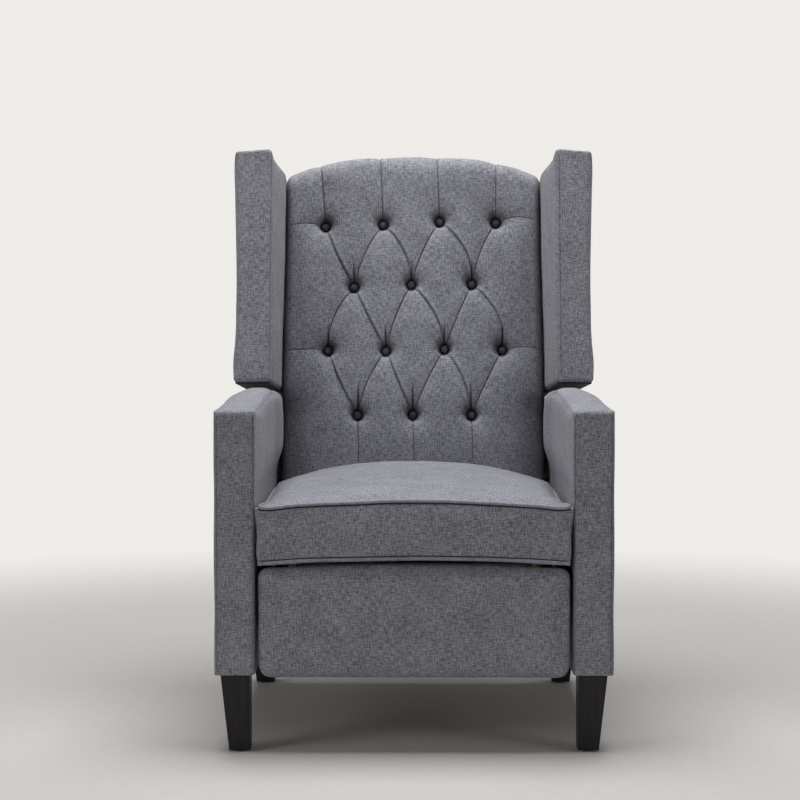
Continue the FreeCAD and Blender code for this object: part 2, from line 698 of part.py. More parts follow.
# Back frame, drawn upright and then leaned
FRAME_FRONT = BACK_PAD + BACK_WEBBING
FRAME_REAR = FRAME_FRONT + BACK_FRAME
RAIL_OUTER = BACK_HALF - BACK_RAIL_INSET
RAIL_INNER = RAIL_OUTER - BACK_RAIL
FRAME_TOP = BACK_CUSHION_TOP - BACK_CUSHION_ROUND


def leaned_box(x0, x1, y0, y1, z0, z1):
    return lean_frame(box(x0, x1, y0, y1, z0, z1))


def tuft_rows():
    """Button places from the lowest row up: (row, x, height above the reference)."""
    places = []
    for row, count in enumerate(TUFT_ROW_COUNTS):
        height = TUFT_FIRST_ROW + row * TUFT_ROW_PITCH
        for index in range(count):
            places.append((row, (index - (count - 1) / 2) * TUFT_PITCH, height))
    return places


CROWN_RADIUS = (BACK_HALF**2 + BACK_CUSHION_CROWN**2) / (2 * BACK_CUSHION_CROWN)


def face_depth(x):
    """How far behind the seam plane the crowned face lies (negative is in front)."""
    return -BACK_CUSHION_CROWN + CROWN_RADIUS - math.sqrt(CROWN_RADIUS**2 - x**2)


def cushion_blank():
    section = [
        Part.Arc(V(-BACK_HALF, 0, 0), V(0, -BACK_CUSHION_CROWN, 0), V(BACK_HALF, 0, 0)).toShape(),
        Part.makeLine(V(BACK_HALF, 0, 0), V(BACK_HALF, BACK_PAD, 0)),
        Part.makeLine(V(BACK_HALF, BACK_PAD, 0), V(-BACK_HALF, BACK_PAD, 0)),
        Part.makeLine(V(-BACK_HALF, BACK_PAD, 0), V(-BACK_HALF, 0, 0)),
    ]
    column = Part.Face(Part.Wire(section))
    column.translate(V(0, 0, BACK_CUSHION_BOTTOM))
    column = column.extrude(V(0, 0, BACK_TOP - BACK_CUSHION_BOTTOM))
    front = -BACK_CUSHION_CROWN - CUT
    arch = [
        Part.Arc(
            V(-BACK_HALF, front, BACK_CUSHION_TOP),
            V(0, front, BACK_TOP),
            V(BACK_HALF, front, BACK_CUSHION_TOP),
        ).toShape(),
        Part.makeLine(V(BACK_HALF, front, BACK_CUSHION_TOP), V(BACK_HALF, front, BACK_CUSHION_BOTTOM)),
        Part.makeLine(V(BACK_HALF, front, BACK_CUSHION_BOTTOM), V(-BACK_HALF, front, BACK_CUSHION_BOTTOM)),
        Part.makeLine(V(-BACK_HALF, front, BACK_CUSHION_BOTTOM), V(-BACK_HALF, front, BACK_CUSHION_TOP)),
    ]
    outline = Part.Face(Part.Wire(arch)).extrude(V(0, BACK_PAD - front, 0))
    blank = column.common(outline)
    lip = [e for e in blank.Edges if e.CenterOfMass.z > BACK_CUSHION_TOP - FIT and e.CenterOfMass.y < FIT]
    roll = Part.Face(Part.Wire(arch)).extrude(V(0, FRAME_REAR - front, 0))
    roll = roll.common(box(-BACK_HALF, BACK_HALF, BACK_PAD, FRAME_REAR, FRAME_TOP, DEPTH))
    return blank.makeFillet(BACK_CUSHION_ROUND, lip).fuse(roll).removeSplitter()


def well(x, height):
    """The hollow that a button pulls into the face: a flared cup."""
    y = face_depth(x)
    lip = V(x + WELL_RADIUS, y - CUT, height)
    rim = V(x + WELL_RADIUS, y, height)
    flare = V(x + WELL_FLOOR_RADIUS + (WELL_RADIUS - WELL_FLOOR_RADIUS) / 3, y + WELL_DEPTH / 2, height)
    floor = V(x + WELL_FLOOR_RADIUS, y + WELL_DEPTH, height)
    axis_floor = V(x, y + WELL_DEPTH, height)
    axis_lip = V(x, y - CUT, height)
    edges = [
        Part.makeLine(axis_lip, lip),
        Part.makeLine(lip, rim),
        Part.Arc(rim, flare, floor).toShape(),
        Part.makeLine(floor, axis_floor),
        Part.makeLine(axis_floor, axis_lip),
    ]
    return Part.Face(Part.Wire(edges)).revolve(axis_lip, V(0, 1, 0), 360)


def pleat(x0, h0, x1, h1):
    """A V-shaped fold between two places of the face."""
    start = V(x0, face_depth(x0), h0)
    end = V(x1, face_depth(x1), h1)
    along = end - start
    across = V(along.z, 0, -along.x).normalize() * (PLEAT_WIDTH / 2)
    proud = V(0, -PLEAT_DEPTH, 0)
    root = V(0, PLEAT_DEPTH, 0)
    return prism([start + across * 2 + proud, start + root, start - across * 2 + proud], along)


def pleats():
    rows = [[(x, h) for r, x, h in tuft_rows() if r == row] for row in range(len(TUFT_ROW_COUNTS))]
    folds = []
    for lower, upper in zip(rows, rows[1:]):
        for x0, h0 in lower:
            for x1, h1 in upper:
                if abs(x1 - x0) < TUFT_PITCH:
                    folds.append(pleat(x0, h0, x1, h1))
    for x, h in rows[0]:
        folds.append(pleat(x, h, x, BACK_CUSHION_BOTTOM))
    for x, h in rows[-1]:
        folds.append(pleat(x, h, x, BACK_TOP))
    return folds


def back_cushion():
    wells = [well(x, h) for _, x, h in tuft_rows()]
    return cushion_blank().cut(wells + pleats())


def button(x, height):
    """A covered button, domed by its rounded rim, on the floor of its well."""
    seat_y = face_depth(x) + WELL_DEPTH
    thick = BUTTON_RIM + BUTTON_DOME
    blank = Part.makeCylinder(BUTTON_RADIUS, thick, V(x, seat_y - thick, height), V(0, 1, 0))
    front = min(blank.Edges, key=lambda edge: edge.CenterOfMass.y)
    return blank.makeFillet(BUTTON_DOME, [front])


save(
    "back_side_rails",
    both_sides(leaned_box(RAIL_INNER, RAIL_OUTER, FRAME_FRONT, FRAME_REAR, BACK_RAIL_BOTTOM, FRAME_TOP)),
)
save(
    "back_top_rail",
    [leaned_box(-RAIL_INNER, RAIL_INNER, FRAME_FRONT, FRAME_REAR, FRAME_TOP - BACK_TOP_RAIL, FRAME_TOP)],
)
save(
    "back_bottom_rail",
    [
        leaned_box(
            -RAIL_INNER, RAIL_INNER, FRAME_FRONT, FRAME_REAR, BACK_RAIL_BOTTOM, BACK_RAIL_BOTTOM + BACK_FRAME
        )
    ],
)
webs = []
for index in range(WEBBING_COUNT):
    height = (index + 1) * (FRAME_TOP - BACK_TOP_RAIL) / (WEBBING_COUNT + 1)
    webs.append(leaned_box(-RAIL_OUTER, RAIL_OUTER, BACK_PAD, FRAME_FRONT, height, height + WEBBING_WIDTH))
save("back_webbing", webs)
save("back_cushion", [lean_frame(back_cushion())])
save("back_buttons", [lean_frame(button(x, h)) for _, x, h in tuft_rows()])

# Wings, cut by their own side outline
WING_LOW_Z = ARM_TOP + WING_BOTTOM_GAP
WING_INNER = BACK_HALF + FIT
WING_OUTER = HALF_OUT + WING_PROUD


def face_y(z):
    """The seam plane of the back at height z."""
    return BACK_Y + (z - BACK_REFERENCE_Z) * LEAN_SIN / LEAN_COS


def wing_outline(inset=0.0):
    """Side view of a wing: its top is square to the back, its front edge leans less than the back does."""
    low = WING_LOW_Z + inset
    high = OVERALL_HEIGHT - inset
    top_front = V(0, face_y(OVERALL_HEIGHT) - WING_TOP_AHEAD + inset, high)
    behind = DEPTH / 2 + CUT
    rear_high = high - (behind - top_front.y) * LEAN_SIN / LEAN_COS
    return [
        V(0, face_y(WING_LOW_Z) - WING_BOTTOM_AHEAD + inset, low),
        top_front,
        V(0, behind, rear_high),
        V(0, behind, low),
    ]


def wing_blank():
    front = -WING_TOP_AHEAD * 2
    plan = [
        V(WING_OUTER, front, 0),
        V(WING_OUTER - WING_THICK, front, 0),
        V(WING_OUTER - WING_THICK, -WING_BOTTOM_AHEAD * WING_CREASE_SHARE, 0),
        V(WING_INNER, 0, 0),
        V(WING_INNER, FRAME_REAR, 0),
        V(WING_OUTER, FRAME_REAR, 0),
    ]
    wire = [p - V(0, 0, DEPTH) for p in plan]
    column = lean_frame(prism(wire, V(0, 0, DEPTH * 2)))
    side = prism([p + V(WING_INNER - CUT, 0, 0) for p in wing_outline()], V(WING_OUTER, 0, 0))
    return column.common(side)


def wing_board(play=0.0):
    middle = WING_OUTER - WING_THICK / 2
    points = [p + V(middle - WING_BOARD / 2, 0, 0) for p in wing_outline(WING_BOARD_PAD)]
    side = prism(points, V(WING_BOARD, 0, 0))
    rear = lean_frame(box(0, HALF_OUT * 2, FRAME_REAR + play, DEPTH, -DEPTH, DEPTH))
    return side.cut(rear)


def is_wing_bottom_edge(edge):
    """The outer lengthwise edge of a wing's underside."""
    ends = [v.Point for v in edge.Vertexes]
    return all(abs(p.z - WING_LOW_Z) < FIT and abs(p.x - WING_OUTER) < FIT for p in ends)


def wing():
    body = wing_blank()
    front_face = min(body.Faces, key=lambda face: face.CenterOfMass.y)
    low_edges = [e for e in body.Edges if is_wing_bottom_edge(e)]
    return body.makeFillet(WING_ROUND, front_face.Edges + low_edges).cut(wing_board(CUT))


save("wing_left", [mirrored(wing())])
save("wing_right", [wing()])
save("wing_boards", both_sides(wing_board()))


# Outside back panel: wide behind the wings, narrow between the arms, arched at the top
def back_panel():
    rear = FRAME_REAR + BACK_PANEL
    plan = [
        Part.makeLine(V(-WING_OUTER, FRAME_REAR, 0), V(WING_OUTER, FRAME_REAR, 0)),
        Part.makeLine(V(WING_OUTER, FRAME_REAR, 0), V(WING_OUTER, rear - BACK_PANEL_CROWN, 0)),
        Part.Arc(
            V(WING_OUTER, rear - BACK_PANEL_CROWN, 0), V(0, rear, 0), V(-WING_OUTER, rear - BACK_PANEL_CROWN, 0)
        ).toShape(),
        Part.makeLine(V(-WING_OUTER, rear - BACK_PANEL_CROWN, 0), V(-WING_OUTER, FRAME_REAR, 0)),
    ]
    sheet = Part.Face(Part.Wire(plan))
    sheet.translate(V(0, 0, BACK_RAIL_BOTTOM))
    slab = sheet.extrude(V(0, 0, BACK_TOP - BACK_RAIL_BOTTOM))
    front = FRAME_REAR - CUT
    outline = [
        Part.Arc(V(-BACK_HALF, front, WING_TOP), V(0, front, BACK_TOP), V(BACK_HALF, front, WING_TOP)).toShape(),
        Part.makePolygon(
            [
                V(BACK_HALF, front, WING_TOP),
                V(WING_OUTER, front, WING_TOP),
                V(WING_OUTER, front, BACK_RAIL_BOTTOM),
                V(-WING_OUTER, front, BACK_RAIL_BOTTOM),
                V(-WING_OUTER, front, WING_TOP),
                V(-BACK_HALF, front, WING_TOP),
            ]
        ),
    ]
    shield = Part.Face(Part.Wire(outline)).extrude(V(0, BACK_PANEL + CUT * 2, 0))
    panel = lean_frame(slab.common(shield))
    low_corners = [box(side * BACK_HALF, side * DEPTH, 0, DEPTH, 0, WING_LOW_Z) for side in SIDES]
    return panel.cut(low_corners)


save("back_panel", [back_panel()])


# Hinge plates of the back
def rail_middle(height):
    """A point in the middle of the side rail's depth, this high above the reference."""
    depth = FRAME_FRONT + BACK_FRAME / 2
    y = BACK_Y + height * LEAN_SIN + depth * LEAN_COS
    return V(0, y, BACK_REFERENCE_Z + height * LEAN_COS - depth * LEAN_SIN)


def hinge_plate():
    low = rail_middle(HINGE_SPACER_LOW)
    plate = bar(low, rail_middle(HINGE_SPACER_HIGH), HINGE_PLATE_WIDTH, SWING_PLANE)
    neck = bar(RECLINE_PIVOT, low, HINGE_PLATE_WIDTH, SWING_PLANE)
    tail = bar(RECLINE_LOW, RECLINE_PIVOT, LINK_WIDTH, SWING_PLANE)
    return drilled(plate.fuse([neck, tail]).removeSplitter(), [RECLINE_PIVOT, RECLINE_LOW], SWING_PLANE)


def hinge_spacer():
    outer = plane_outer(SWING_PLANE) - PLATE
    half = LINK_WIDTH / 2
    middle = FRAME_FRONT + BACK_FRAME / 2
    return leaned_box(RAIL_OUTER, outer, middle - half, middle + half, HINGE_SPACER_LOW, HINGE_SPACER_HIGH)


def side_cover():
    """The cover over a side rail, cut out round the hinge spacer."""
    cover = leaned_box(RAIL_OUTER, BACK_HALF, BACK_PAD, FRAME_REAR, BACK_CUSHION_BOTTOM, BACK_TOP)
    above = box(0, HALF_OUT * 2, -DEPTH, DEPTH, WING_LOW_Z - FIT, OVERALL_HEIGHT * 2)
    half = LINK_WIDTH / 2 + FIT
    middle = FRAME_FRONT + BACK_FRAME / 2
    slot = leaned_box(
        0, HALF_OUT, middle - half, middle + half, HINGE_SPACER_LOW - FIT, HINGE_SPACER_HIGH + FIT
    )
    return cover.cut([above, slot])


save("back_side_covers", both_sides(side_cover()))
save("back_hinge_plates", both_sides(hinge_plate()))
save("back_hinge_spacers", both_sides(hinge_spacer()))
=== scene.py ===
# %% [markdown]
# # A push-back wing recliner
#
# The chair is an upholstered wooden shell on four tapered legs. Its back is tufted, its seat is a boxed
# cushion with welts, and a padded panel under the seat unfolds as a footrest. The rigid parts come from the
# CAD model, which is loaded here as a fixed frame. This lesson dresses that frame: it makes the padded forms,
# the seams and the finishes, and it never moves or reshapes a rigid part.

# %% Load the frame
import contextlib
import math
import bmesh
import bpy
import numpy as np
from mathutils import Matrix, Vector, noise
from mathutils.bvhtree import BVHTree


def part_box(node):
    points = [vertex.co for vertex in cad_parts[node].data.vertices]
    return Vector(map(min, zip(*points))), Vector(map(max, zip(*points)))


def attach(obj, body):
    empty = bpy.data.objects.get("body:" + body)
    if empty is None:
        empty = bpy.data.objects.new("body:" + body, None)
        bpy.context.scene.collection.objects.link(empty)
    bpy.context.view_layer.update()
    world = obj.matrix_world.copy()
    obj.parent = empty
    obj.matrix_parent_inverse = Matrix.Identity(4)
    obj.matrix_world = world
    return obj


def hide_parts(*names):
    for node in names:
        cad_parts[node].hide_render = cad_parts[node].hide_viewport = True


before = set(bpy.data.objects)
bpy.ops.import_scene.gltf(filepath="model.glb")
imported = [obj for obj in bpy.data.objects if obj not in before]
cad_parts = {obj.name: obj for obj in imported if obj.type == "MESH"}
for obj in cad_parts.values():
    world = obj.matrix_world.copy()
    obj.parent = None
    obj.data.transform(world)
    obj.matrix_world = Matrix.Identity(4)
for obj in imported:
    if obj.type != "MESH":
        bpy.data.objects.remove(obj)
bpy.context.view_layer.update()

scene = bpy.context.scene

# %% [markdown]
# ## The camera
#
# The photograph was taken straight from the front with a long lens, a little above the arms and tipped a
# little downwards. A long lens keeps the arms nearly parallel, so its length and distance are set first, and
# the height follows from where the arm tops stop showing.

# %% Camera
camera_data = bpy.data.cameras.new("camera")
camera_data.sensor_width = 36.0
camera_data.lens = 89.1
camera = bpy.data.objects.new("camera", camera_data)
scene.collection.objects.link(camera)
camera.location = (-0.0096, -3.7384, 0.7652)
camera.rotation_euler = (math.radians(90 - 2.786), 0, math.radians(0.243))
scene.camera = camera
print("camera", camera_data.lens, "mm lens at", [round(v, 3) for v in camera.location])

# %% [markdown]
# ## Node helpers
#
# A finish is a small network of shader nodes. Two helpers keep the networks readable: one adds a node and
# fills its sockets, the other starts a node group with named sockets. A group holds an effect that several
# materials share, and each material then gives it its own values.

# %% Node helpers


def put(tree, kind, values=None, **settings):
    """Adds a node; values fills its inputs by name or number, with a constant or another node's output."""
    made = tree.nodes.new(kind)
    for name, value in settings.items():
        setattr(made, name, value)
    for socket, value in (values or {}).items():
        if isinstance(value, bpy.types.NodeSocket):
            tree.links.new(value, made.inputs[socket])
        else:
            made.inputs[socket].default_value = value
    return made


def start_group(name, inputs, outputs):
    """Starts a shader node group with named inputs (with their kinds and first values) and outputs."""
    group = bpy.data.node_groups.new(name, "ShaderNodeTree")
    for label, kind, value in inputs:
        socket = group.interface.new_socket(label, in_out="INPUT", socket_type=kind)
        if value is not None:
            socket.default_value = value
    for label, kind in outputs:
        group.interface.new_socket(label, in_out="OUTPUT", socket_type=kind)
    return group, group.nodes.new("NodeGroupInput").outputs, group.nodes.new("NodeGroupOutput").inputs


def use_group(tree, group, values):
    made = tree.nodes.new("ShaderNodeGroup")
    made.node_tree = group
    for socket, value in values.items():
        if isinstance(value, bpy.types.NodeSocket):
            tree.links.new(value, made.inputs[socket])
        else:
            made.inputs[socket].default_value = value
    return made.outputs


def math_node(tree, operation, a, b=0.0, clamp=False):
    return put(tree, "ShaderNodeMath", {0: a, 1: b}, operation=operation, use_clamp=clamp).outputs[0]


# %% [markdown]
# ## Weave as a node group
#
# Linen-look polyester is a plain weave of uneven yarns: short thick stretches, called slubs, run both ways
# and give the cloth its crosshatched mottle. Noise stretched along one direction looks like one set of yarns.
# Two such noises, one for each direction, take turns over and under as a checker of fine sine waves. An image
# texture would need unwrapped parts; this pattern is worked out from the place of each point instead, so it
# runs at one scale over every cover of the chair.

# %% Woven yarns group
yarns, given, gives = start_group(
    "woven_yarns",
    [
        ("Along", "NodeSocketFloat", 0.0),
        ("Across", "NodeSocketFloat", 0.0),
        ("Yarns per metre", "NodeSocketFloat", 520.0),
    ],
    [("Height", "NodeSocketFloat"), ("Tone", "NodeSocketFloat")],
)
SLUBS_PER_METRE = 95.0


def yarn_set(tree, run, pitch, yarns_per_metre, offset):
    """One direction of yarns: noise drawn out along the run and packed across it."""
    slow = math_node(tree, "MULTIPLY", run, SLUBS_PER_METRE)
    fast = math_node(tree, "MULTIPLY", pitch, yarns_per_metre)
    place = put(tree, "ShaderNodeCombineXYZ", {0: slow, 1: fast, 2: offset}).outputs[0]
    settings = {"Vector": place, "Scale": 1.0, "Detail": 2.0, "Roughness": 0.6}
    return put(tree, "ShaderNodeTexNoise", settings).outputs[0]


weft = yarn_set(yarns, given["Along"], given["Across"], given["Yarns per metre"], 3.0)
warp = yarn_set(yarns, given["Across"], given["Along"], given["Yarns per metre"], 11.0)
waves = []
for direction in ("Along", "Across"):
    turns = math_node(yarns, "MULTIPLY", given[direction], given["Yarns per metre"])
    waves.append(math_node(yarns, "SINE", math_node(yarns, "MULTIPLY", turns, math.pi)))
over = math_node(yarns, "MULTIPLY_ADD", math_node(yarns, "MULTIPLY", *waves), 0.5)
over.node.inputs[2].default_value = 0.5
tone = put(yarns, "ShaderNodeMix", {"Factor": over, "A": weft, "B": warp}).outputs[0]
height = math_node(yarns, "ADD", tone, math_node(yarns, "MULTIPLY", over, 0.25))
yarns.links.new(height, gives["Height"])
yarns.links.new(tone, gives["Tone"])
print("group", yarns.name)

# %% [markdown]
# The yarns need two directions on every face. The next group looks at which way the surface faces and lays
# the weave in the plane that suits it best, with a soft change where the surface turns. Sides take the depth
# and the height, fronts take the width and the height, and tops take the width and the depth.

# %% Weave laid on every face
weave, given, gives = start_group(
    "laid_weave",
    [
        ("Place", "NodeSocketVector", None),
        ("Facing", "NodeSocketVector", None),
        ("Yarns per metre", "NodeSocketFloat", 520.0),
        ("Mottle per metre", "NodeSocketFloat", 28.0),
    ],
    [("Height", "NodeSocketFloat"), ("Tone", "NodeSocketFloat"), ("Mottle", "NodeSocketFloat")],
)
place = put(weave, "ShaderNodeSeparateXYZ", {0: given["Place"]}).outputs
facing = put(weave, "ShaderNodeSeparateXYZ", {0: given["Facing"]}).outputs
shares = [math_node(weave, "POWER", math_node(weave, "ABSOLUTE", facing[axis]), 6.0) for axis in range(3)]
total = math_node(weave, "ADD", math_node(weave, "ADD", shares[0], shares[1]), shares[2])
planes = ((1, 2), (0, 2), (0, 1))
summed = {"Height": 0.0, "Tone": 0.0}
for share, (along, across) in zip(shares, planes):
    part = use_group(
        weave, yarns,
        {"Along": place[along], "Across": place[across], "Yarns per metre": given["Yarns per metre"]},
    )
    weight = math_node(weave, "DIVIDE", share, total)
    for label in summed:
        weighed = math_node(weave, "MULTIPLY", part[label], weight)
        summed[label] = math_node(weave, "ADD", weighed, summed[label])
mottle = put(
    weave, "ShaderNodeTexNoise",
    {"Vector": given["Place"], "Scale": given["Mottle per metre"], "Detail": 3.0, "Roughness": 0.6},
)
for label, value in summed.items():
    weave.links.new(value, gives[label])
weave.links.new(mottle.outputs[0], gives["Mottle"])
print("group", weave.name)

# %% [markdown]
# ## Wear and grain as node groups
#
# Paint rubs off where edges meet hands and feet, and stain gathers in the pores of wood. The wear group mixes
# how sharply the surface bends with a broken noise. The grain group draws long, slightly wandering lines
# along one direction of the wood.

# %% Wear group and grain group
wear, given, gives = start_group(
    "edge_wear",
    [
        ("Bend", "NodeSocketFloat", 0.5),
        ("Place", "NodeSocketVector", None),
        ("Amount", "NodeSocketFloat", 0.5),
    ],
    [("Mask", "NodeSocketFloat")],
)
edges = put(wear, "ShaderNodeMapRange", {0: given["Bend"], 1: 0.52, 2: 0.62}).outputs[0]
chips = put(wear, "ShaderNodeTexNoise", {"Vector": given["Place"], "Scale": 240.0, "Detail": 3.0}).outputs[0]
chips = put(wear, "ShaderNodeMapRange", {0: chips, 1: 0.45, 2: 0.65}).outputs[0]
worn = math_node(wear, "MULTIPLY", math_node(wear, "MULTIPLY", edges, chips), given["Amount"], clamp=True)
wear.links.new(worn, gives["Mask"])

grain, given, gives = start_group(
    "wood_grain",
    [("Place", "NodeSocketVector", None), ("Stretch", "NodeSocketVector", (60.0, 60.0, 4.0))],
    [("Lines", "NodeSocketFloat"), ("Pores", "NodeSocketFloat")],
)
stretched = put(
    grain, "ShaderNodeVectorMath", {0: given["Place"], 1: given["Stretch"]}, operation="MULTIPLY",
).outputs[0]
lines = put(
    grain, "ShaderNodeTexNoise", {"Vector": stretched, "Scale": 1.0, "Detail": 4.0, "Distortion": 0.8},
).outputs[0]
pores = put(grain, "ShaderNodeTexNoise", {"Vector": stretched, "Scale": 7.0, "Detail": 2.0}).outputs[0]
grain.links.new(lines, gives["Lines"])
grain.links.new(pores, gives["Pores"])
print("groups", wear.name, grain.name)

# %% [markdown]
# ## The finishes
#
# Each material below has its own shader and takes colours, masks and heights from the groups. Numbers that
# hold over the whole surface, such as sheen, are set on the shader itself.

# %% Material helpers


def start_material(name):
    material = bpy.data.materials.new(name)
    material.use_nodes = True
    tree = material.node_tree
    shader = tree.nodes["Principled BSDF"]
    where = put(tree, "ShaderNodeTexCoord").outputs
    return material, tree, shader, where


def two_colours(tree, factor, dark, light):
    mix = put(tree, "ShaderNodeMix", {0: factor, 6: (*dark, 1.0), 7: (*light, 1.0)}, data_type="RGBA")
    return mix.outputs[2]


def bump(tree, height, distance, strength=1.0):
    settings = {"Height": height, "Distance": distance, "Strength": strength}
    return put(tree, "ShaderNodeBump", settings).outputs[0]


def contrast(tree, value, low, high):
    return put(tree, "ShaderNodeMapRange", {0: value, 1: low, 2: high}).outputs[0]


# %% Upholstery cloth


def cloth_finish(name, dark, light, yarns_per_metre=440.0, relief=0.0006):
    material, tree, shader, where = start_material(name)
    cloth = use_group(
        tree, weave,
        {"Place": where["Object"], "Facing": where["Normal"], "Yarns per metre": yarns_per_metre},
    )
    broad = math_node(tree, "MULTIPLY", math_node(tree, "SUBTRACT", cloth["Mottle"], 0.5), 0.15)
    tone = contrast(tree, math_node(tree, "ADD", cloth["Tone"], broad), 0.386, 0.614)
    # Painted shade: this attribute darkens the cloth towards a near-black in the wells, folds, creases and
    # sides of the back cushion.
    painted_crevice_shade = put(tree, "ShaderNodeAttribute", attribute_name="painted_crevice_shade").outputs["Fac"]
    painted_shade_colour = [channel * 0.22 for channel in dark]
    face = two_colours(tree, tone, dark, light)
    shaded = put(tree, "ShaderNodeMix", {0: painted_crevice_shade, 6: face, 7: (*painted_shade_colour, 1.0)}, data_type="RGBA").outputs[2]
    tree.links.new(shaded, shader.inputs["Base Color"])
    tree.links.new(bump(tree, cloth["Height"], relief, 0.7), shader.inputs["Normal"])
    shader.inputs["Roughness"].default_value = 0.9
    shader.inputs["Specular IOR Level"].default_value = 0.2
    shader.inputs["Sheen Weight"].default_value = 0.12
    shader.inputs["Sheen Roughness"].default_value = 0.5
    return material


upholstery = cloth_finish("slub_linen", (0.095, 0.096, 0.113), (0.29, 0.293, 0.328))
# Welt cloth is the cover cloth with finer yarns, painted lighter: a painted highlight on the cords.
piping_cloth_painted_light = cloth_finish("piping_linen_painted_highlight", (0.125, 0.127, 0.149), (0.32, 0.324, 0.364), 760.0, 0.0003)
# Button cloth is the cover cloth painted much darker: painted shade on the sunk buttons.
button_cloth_painted_shade = cloth_finish("button_linen_painted_shade", (0.030, 0.031, 0.037), (0.095, 0.097, 0.110), 760.0, 0.0003)
thread = cloth_finish("topstitch_thread", (0.17, 0.172, 0.2), (0.3, 0.305, 0.34), 1800.0, 0.0001)
# Painted shade: a dark cloth for the thin tubes that draw the shade in seam grooves.
seam_shadow = cloth_finish("seam_groove_painted_shade", (0.05, 0.051, 0.06), (0.12, 0.122, 0.14), 900.0, 0.0002)
needled_felt = cloth_finish("needled_felt", (0.2, 0.195, 0.185), (0.42, 0.41, 0.39), 300.0, 0.0008)
# Black dust cloth for under the wings; the same finish also draws the painted seam shade beside the seat
# welts.
dust_cloth_and_seam_shade = cloth_finish("dust_cloth_and_seam_shade", (0.010, 0.009, 0.010), (0.030, 0.026, 0.027), 300.0, 0.0003)
elastic_webbing = cloth_finish("elastic_webbing", (0.02, 0.02, 0.022), (0.07, 0.07, 0.075), 420.0, 0.0006)

# %% Woods


def wood_finish(name, dark, light, stretch, roughness, coat, relief):
    material, tree, shader, where = start_material(name)
    figure = use_group(tree, grain, {"Place": where["Object"], "Stretch": stretch})
    lines = contrast(tree, figure["Lines"], 0.35, 0.68)
    bend = put(tree, "ShaderNodeNewGeometry").outputs["Pointiness"]
    edge = use_group(tree, wear, {"Bend": bend, "Place": where["Object"], "Amount": 0.12})
    base = two_colours(tree, lines, dark, light)
    worn = [min(1.0, channel * 1.7) for channel in light]
    rubbed = put(tree, "ShaderNodeMix", {0: edge["Mask"], 6: base, 7: (*worn, 1.0)}, data_type="RGBA")
    tree.links.new(rubbed.outputs[2], shader.inputs["Base Color"])
    tree.links.new(bump(tree, figure["Pores"], relief, 0.5), shader.inputs["Normal"])
    span = {0: figure["Pores"], 3: roughness - 0.05, 4: roughness + 0.08}
    gloss = put(tree, "ShaderNodeMapRange", span).outputs[0]
    tree.links.new(gloss, shader.inputs["Roughness"])
    shader.inputs["Coat Weight"].default_value = coat
    shader.inputs["Coat Roughness"].default_value = 0.3
    shader.inputs["Specular IOR Level"].default_value = 0.3
    return material


STAIN_PORE, STAIN_FACE = (0.006, 0.0045, 0.006), (0.013, 0.010, 0.012)
PINE_LATE, PINE_EARLY = (0.42, 0.28, 0.15), (0.62, 0.46, 0.29)
leg_stain = wood_finish("espresso_stain", STAIN_PORE, STAIN_FACE, (90, 90, 5), 0.42, 0.0, 0.00015)
pine_across = wood_finish("pine_across", PINE_LATE, PINE_EARLY, (5, 70, 70), 0.6, 0.0, 0.0003)
pine_deep = wood_finish("pine_lengthwise", PINE_LATE, PINE_EARLY, (70, 5, 70), 0.6, 0.0, 0.0003)
pine_up = wood_finish("pine_upright", PINE_LATE, PINE_EARLY, (70, 70, 5), 0.6, 0.0, 0.0003)

# %% Metals and plastic


def metal_finish(name, paint, bare, metallic, roughness, amount):
    """Paint or plating over steel: the wear mask shows the bare metal along edges."""
    material, tree, shader, where = start_material(name)
    bend = put(tree, "ShaderNodeNewGeometry").outputs["Pointiness"]
    edge = use_group(tree, wear, {"Bend": bend, "Place": where["Object"], "Amount": amount})
    fine = {"Vector": where["Object"], "Scale": 420.0, "Detail": 3.0}
    skin = put(tree, "ShaderNodeTexNoise", fine).outputs[0]
    tree.links.new(two_colours(tree, edge["Mask"], paint, bare), shader.inputs["Base Color"])
    metal = math_node(tree, "MAXIMUM", edge["Mask"], metallic)
    tree.links.new(metal, shader.inputs["Metallic"])
    gloss = put(tree, "ShaderNodeMapRange", {0: skin, 3: roughness - 0.08, 4: roughness + 0.1}).outputs[0]
    tree.links.new(gloss, shader.inputs["Roughness"])
    tree.links.new(bump(tree, skin, 0.0001, 0.4), shader.inputs["Normal"])
    return material


black_steel = metal_finish("satin_black_steel", (0.018, 0.018, 0.019), (0.4, 0.4, 0.41), 0.0, 0.42, 0.07)
zinc_steel = metal_finish("zinc_plated_steel", (0.5, 0.5, 0.52), (0.7, 0.7, 0.7), 1.0, 0.34, 0.3)
black_plastic = metal_finish("matte_black_plastic", (0.02, 0.02, 0.02), (0.05, 0.05, 0.05), 0.0, 0.6, 0.0)
print("finishes", len(bpy.data.materials))

# %% [markdown]
# ## Mesh helpers
#
# Upholstery starts as a stiff form, a board or a foam block, and the cover is pulled over it. The helpers
# follow that order. One builds a closed form from rings of points, one rounds its edges, one cuts it into
# even cells so that it can bend, and one hands the finished piece to the body that it moves with.

# %% Making pieces


def mesh_piece(name, points, faces):
    mesh = bpy.data.meshes.new(name)
    mesh.from_pydata([tuple(p) for p in points], [], faces)
    mesh.update()
    piece = bpy.data.objects.new(name, mesh)
    scene.collection.objects.link(piece)
    return piece


def ring_faces(rings, count, first=0):
    """Faces through so many rings of so many points each, with a flat face at each end."""
    faces = []
    for low in range(first, first + (rings - 1) * count, count):
        for i in range(count):
            j = (i + 1) % count
            faces.append((low + i, low + j, low + count + j, low + count + i))
    last = first + (rings - 1) * count
    return faces + [tuple(range(first, first + count))[::-1], tuple(range(last, last + count))]


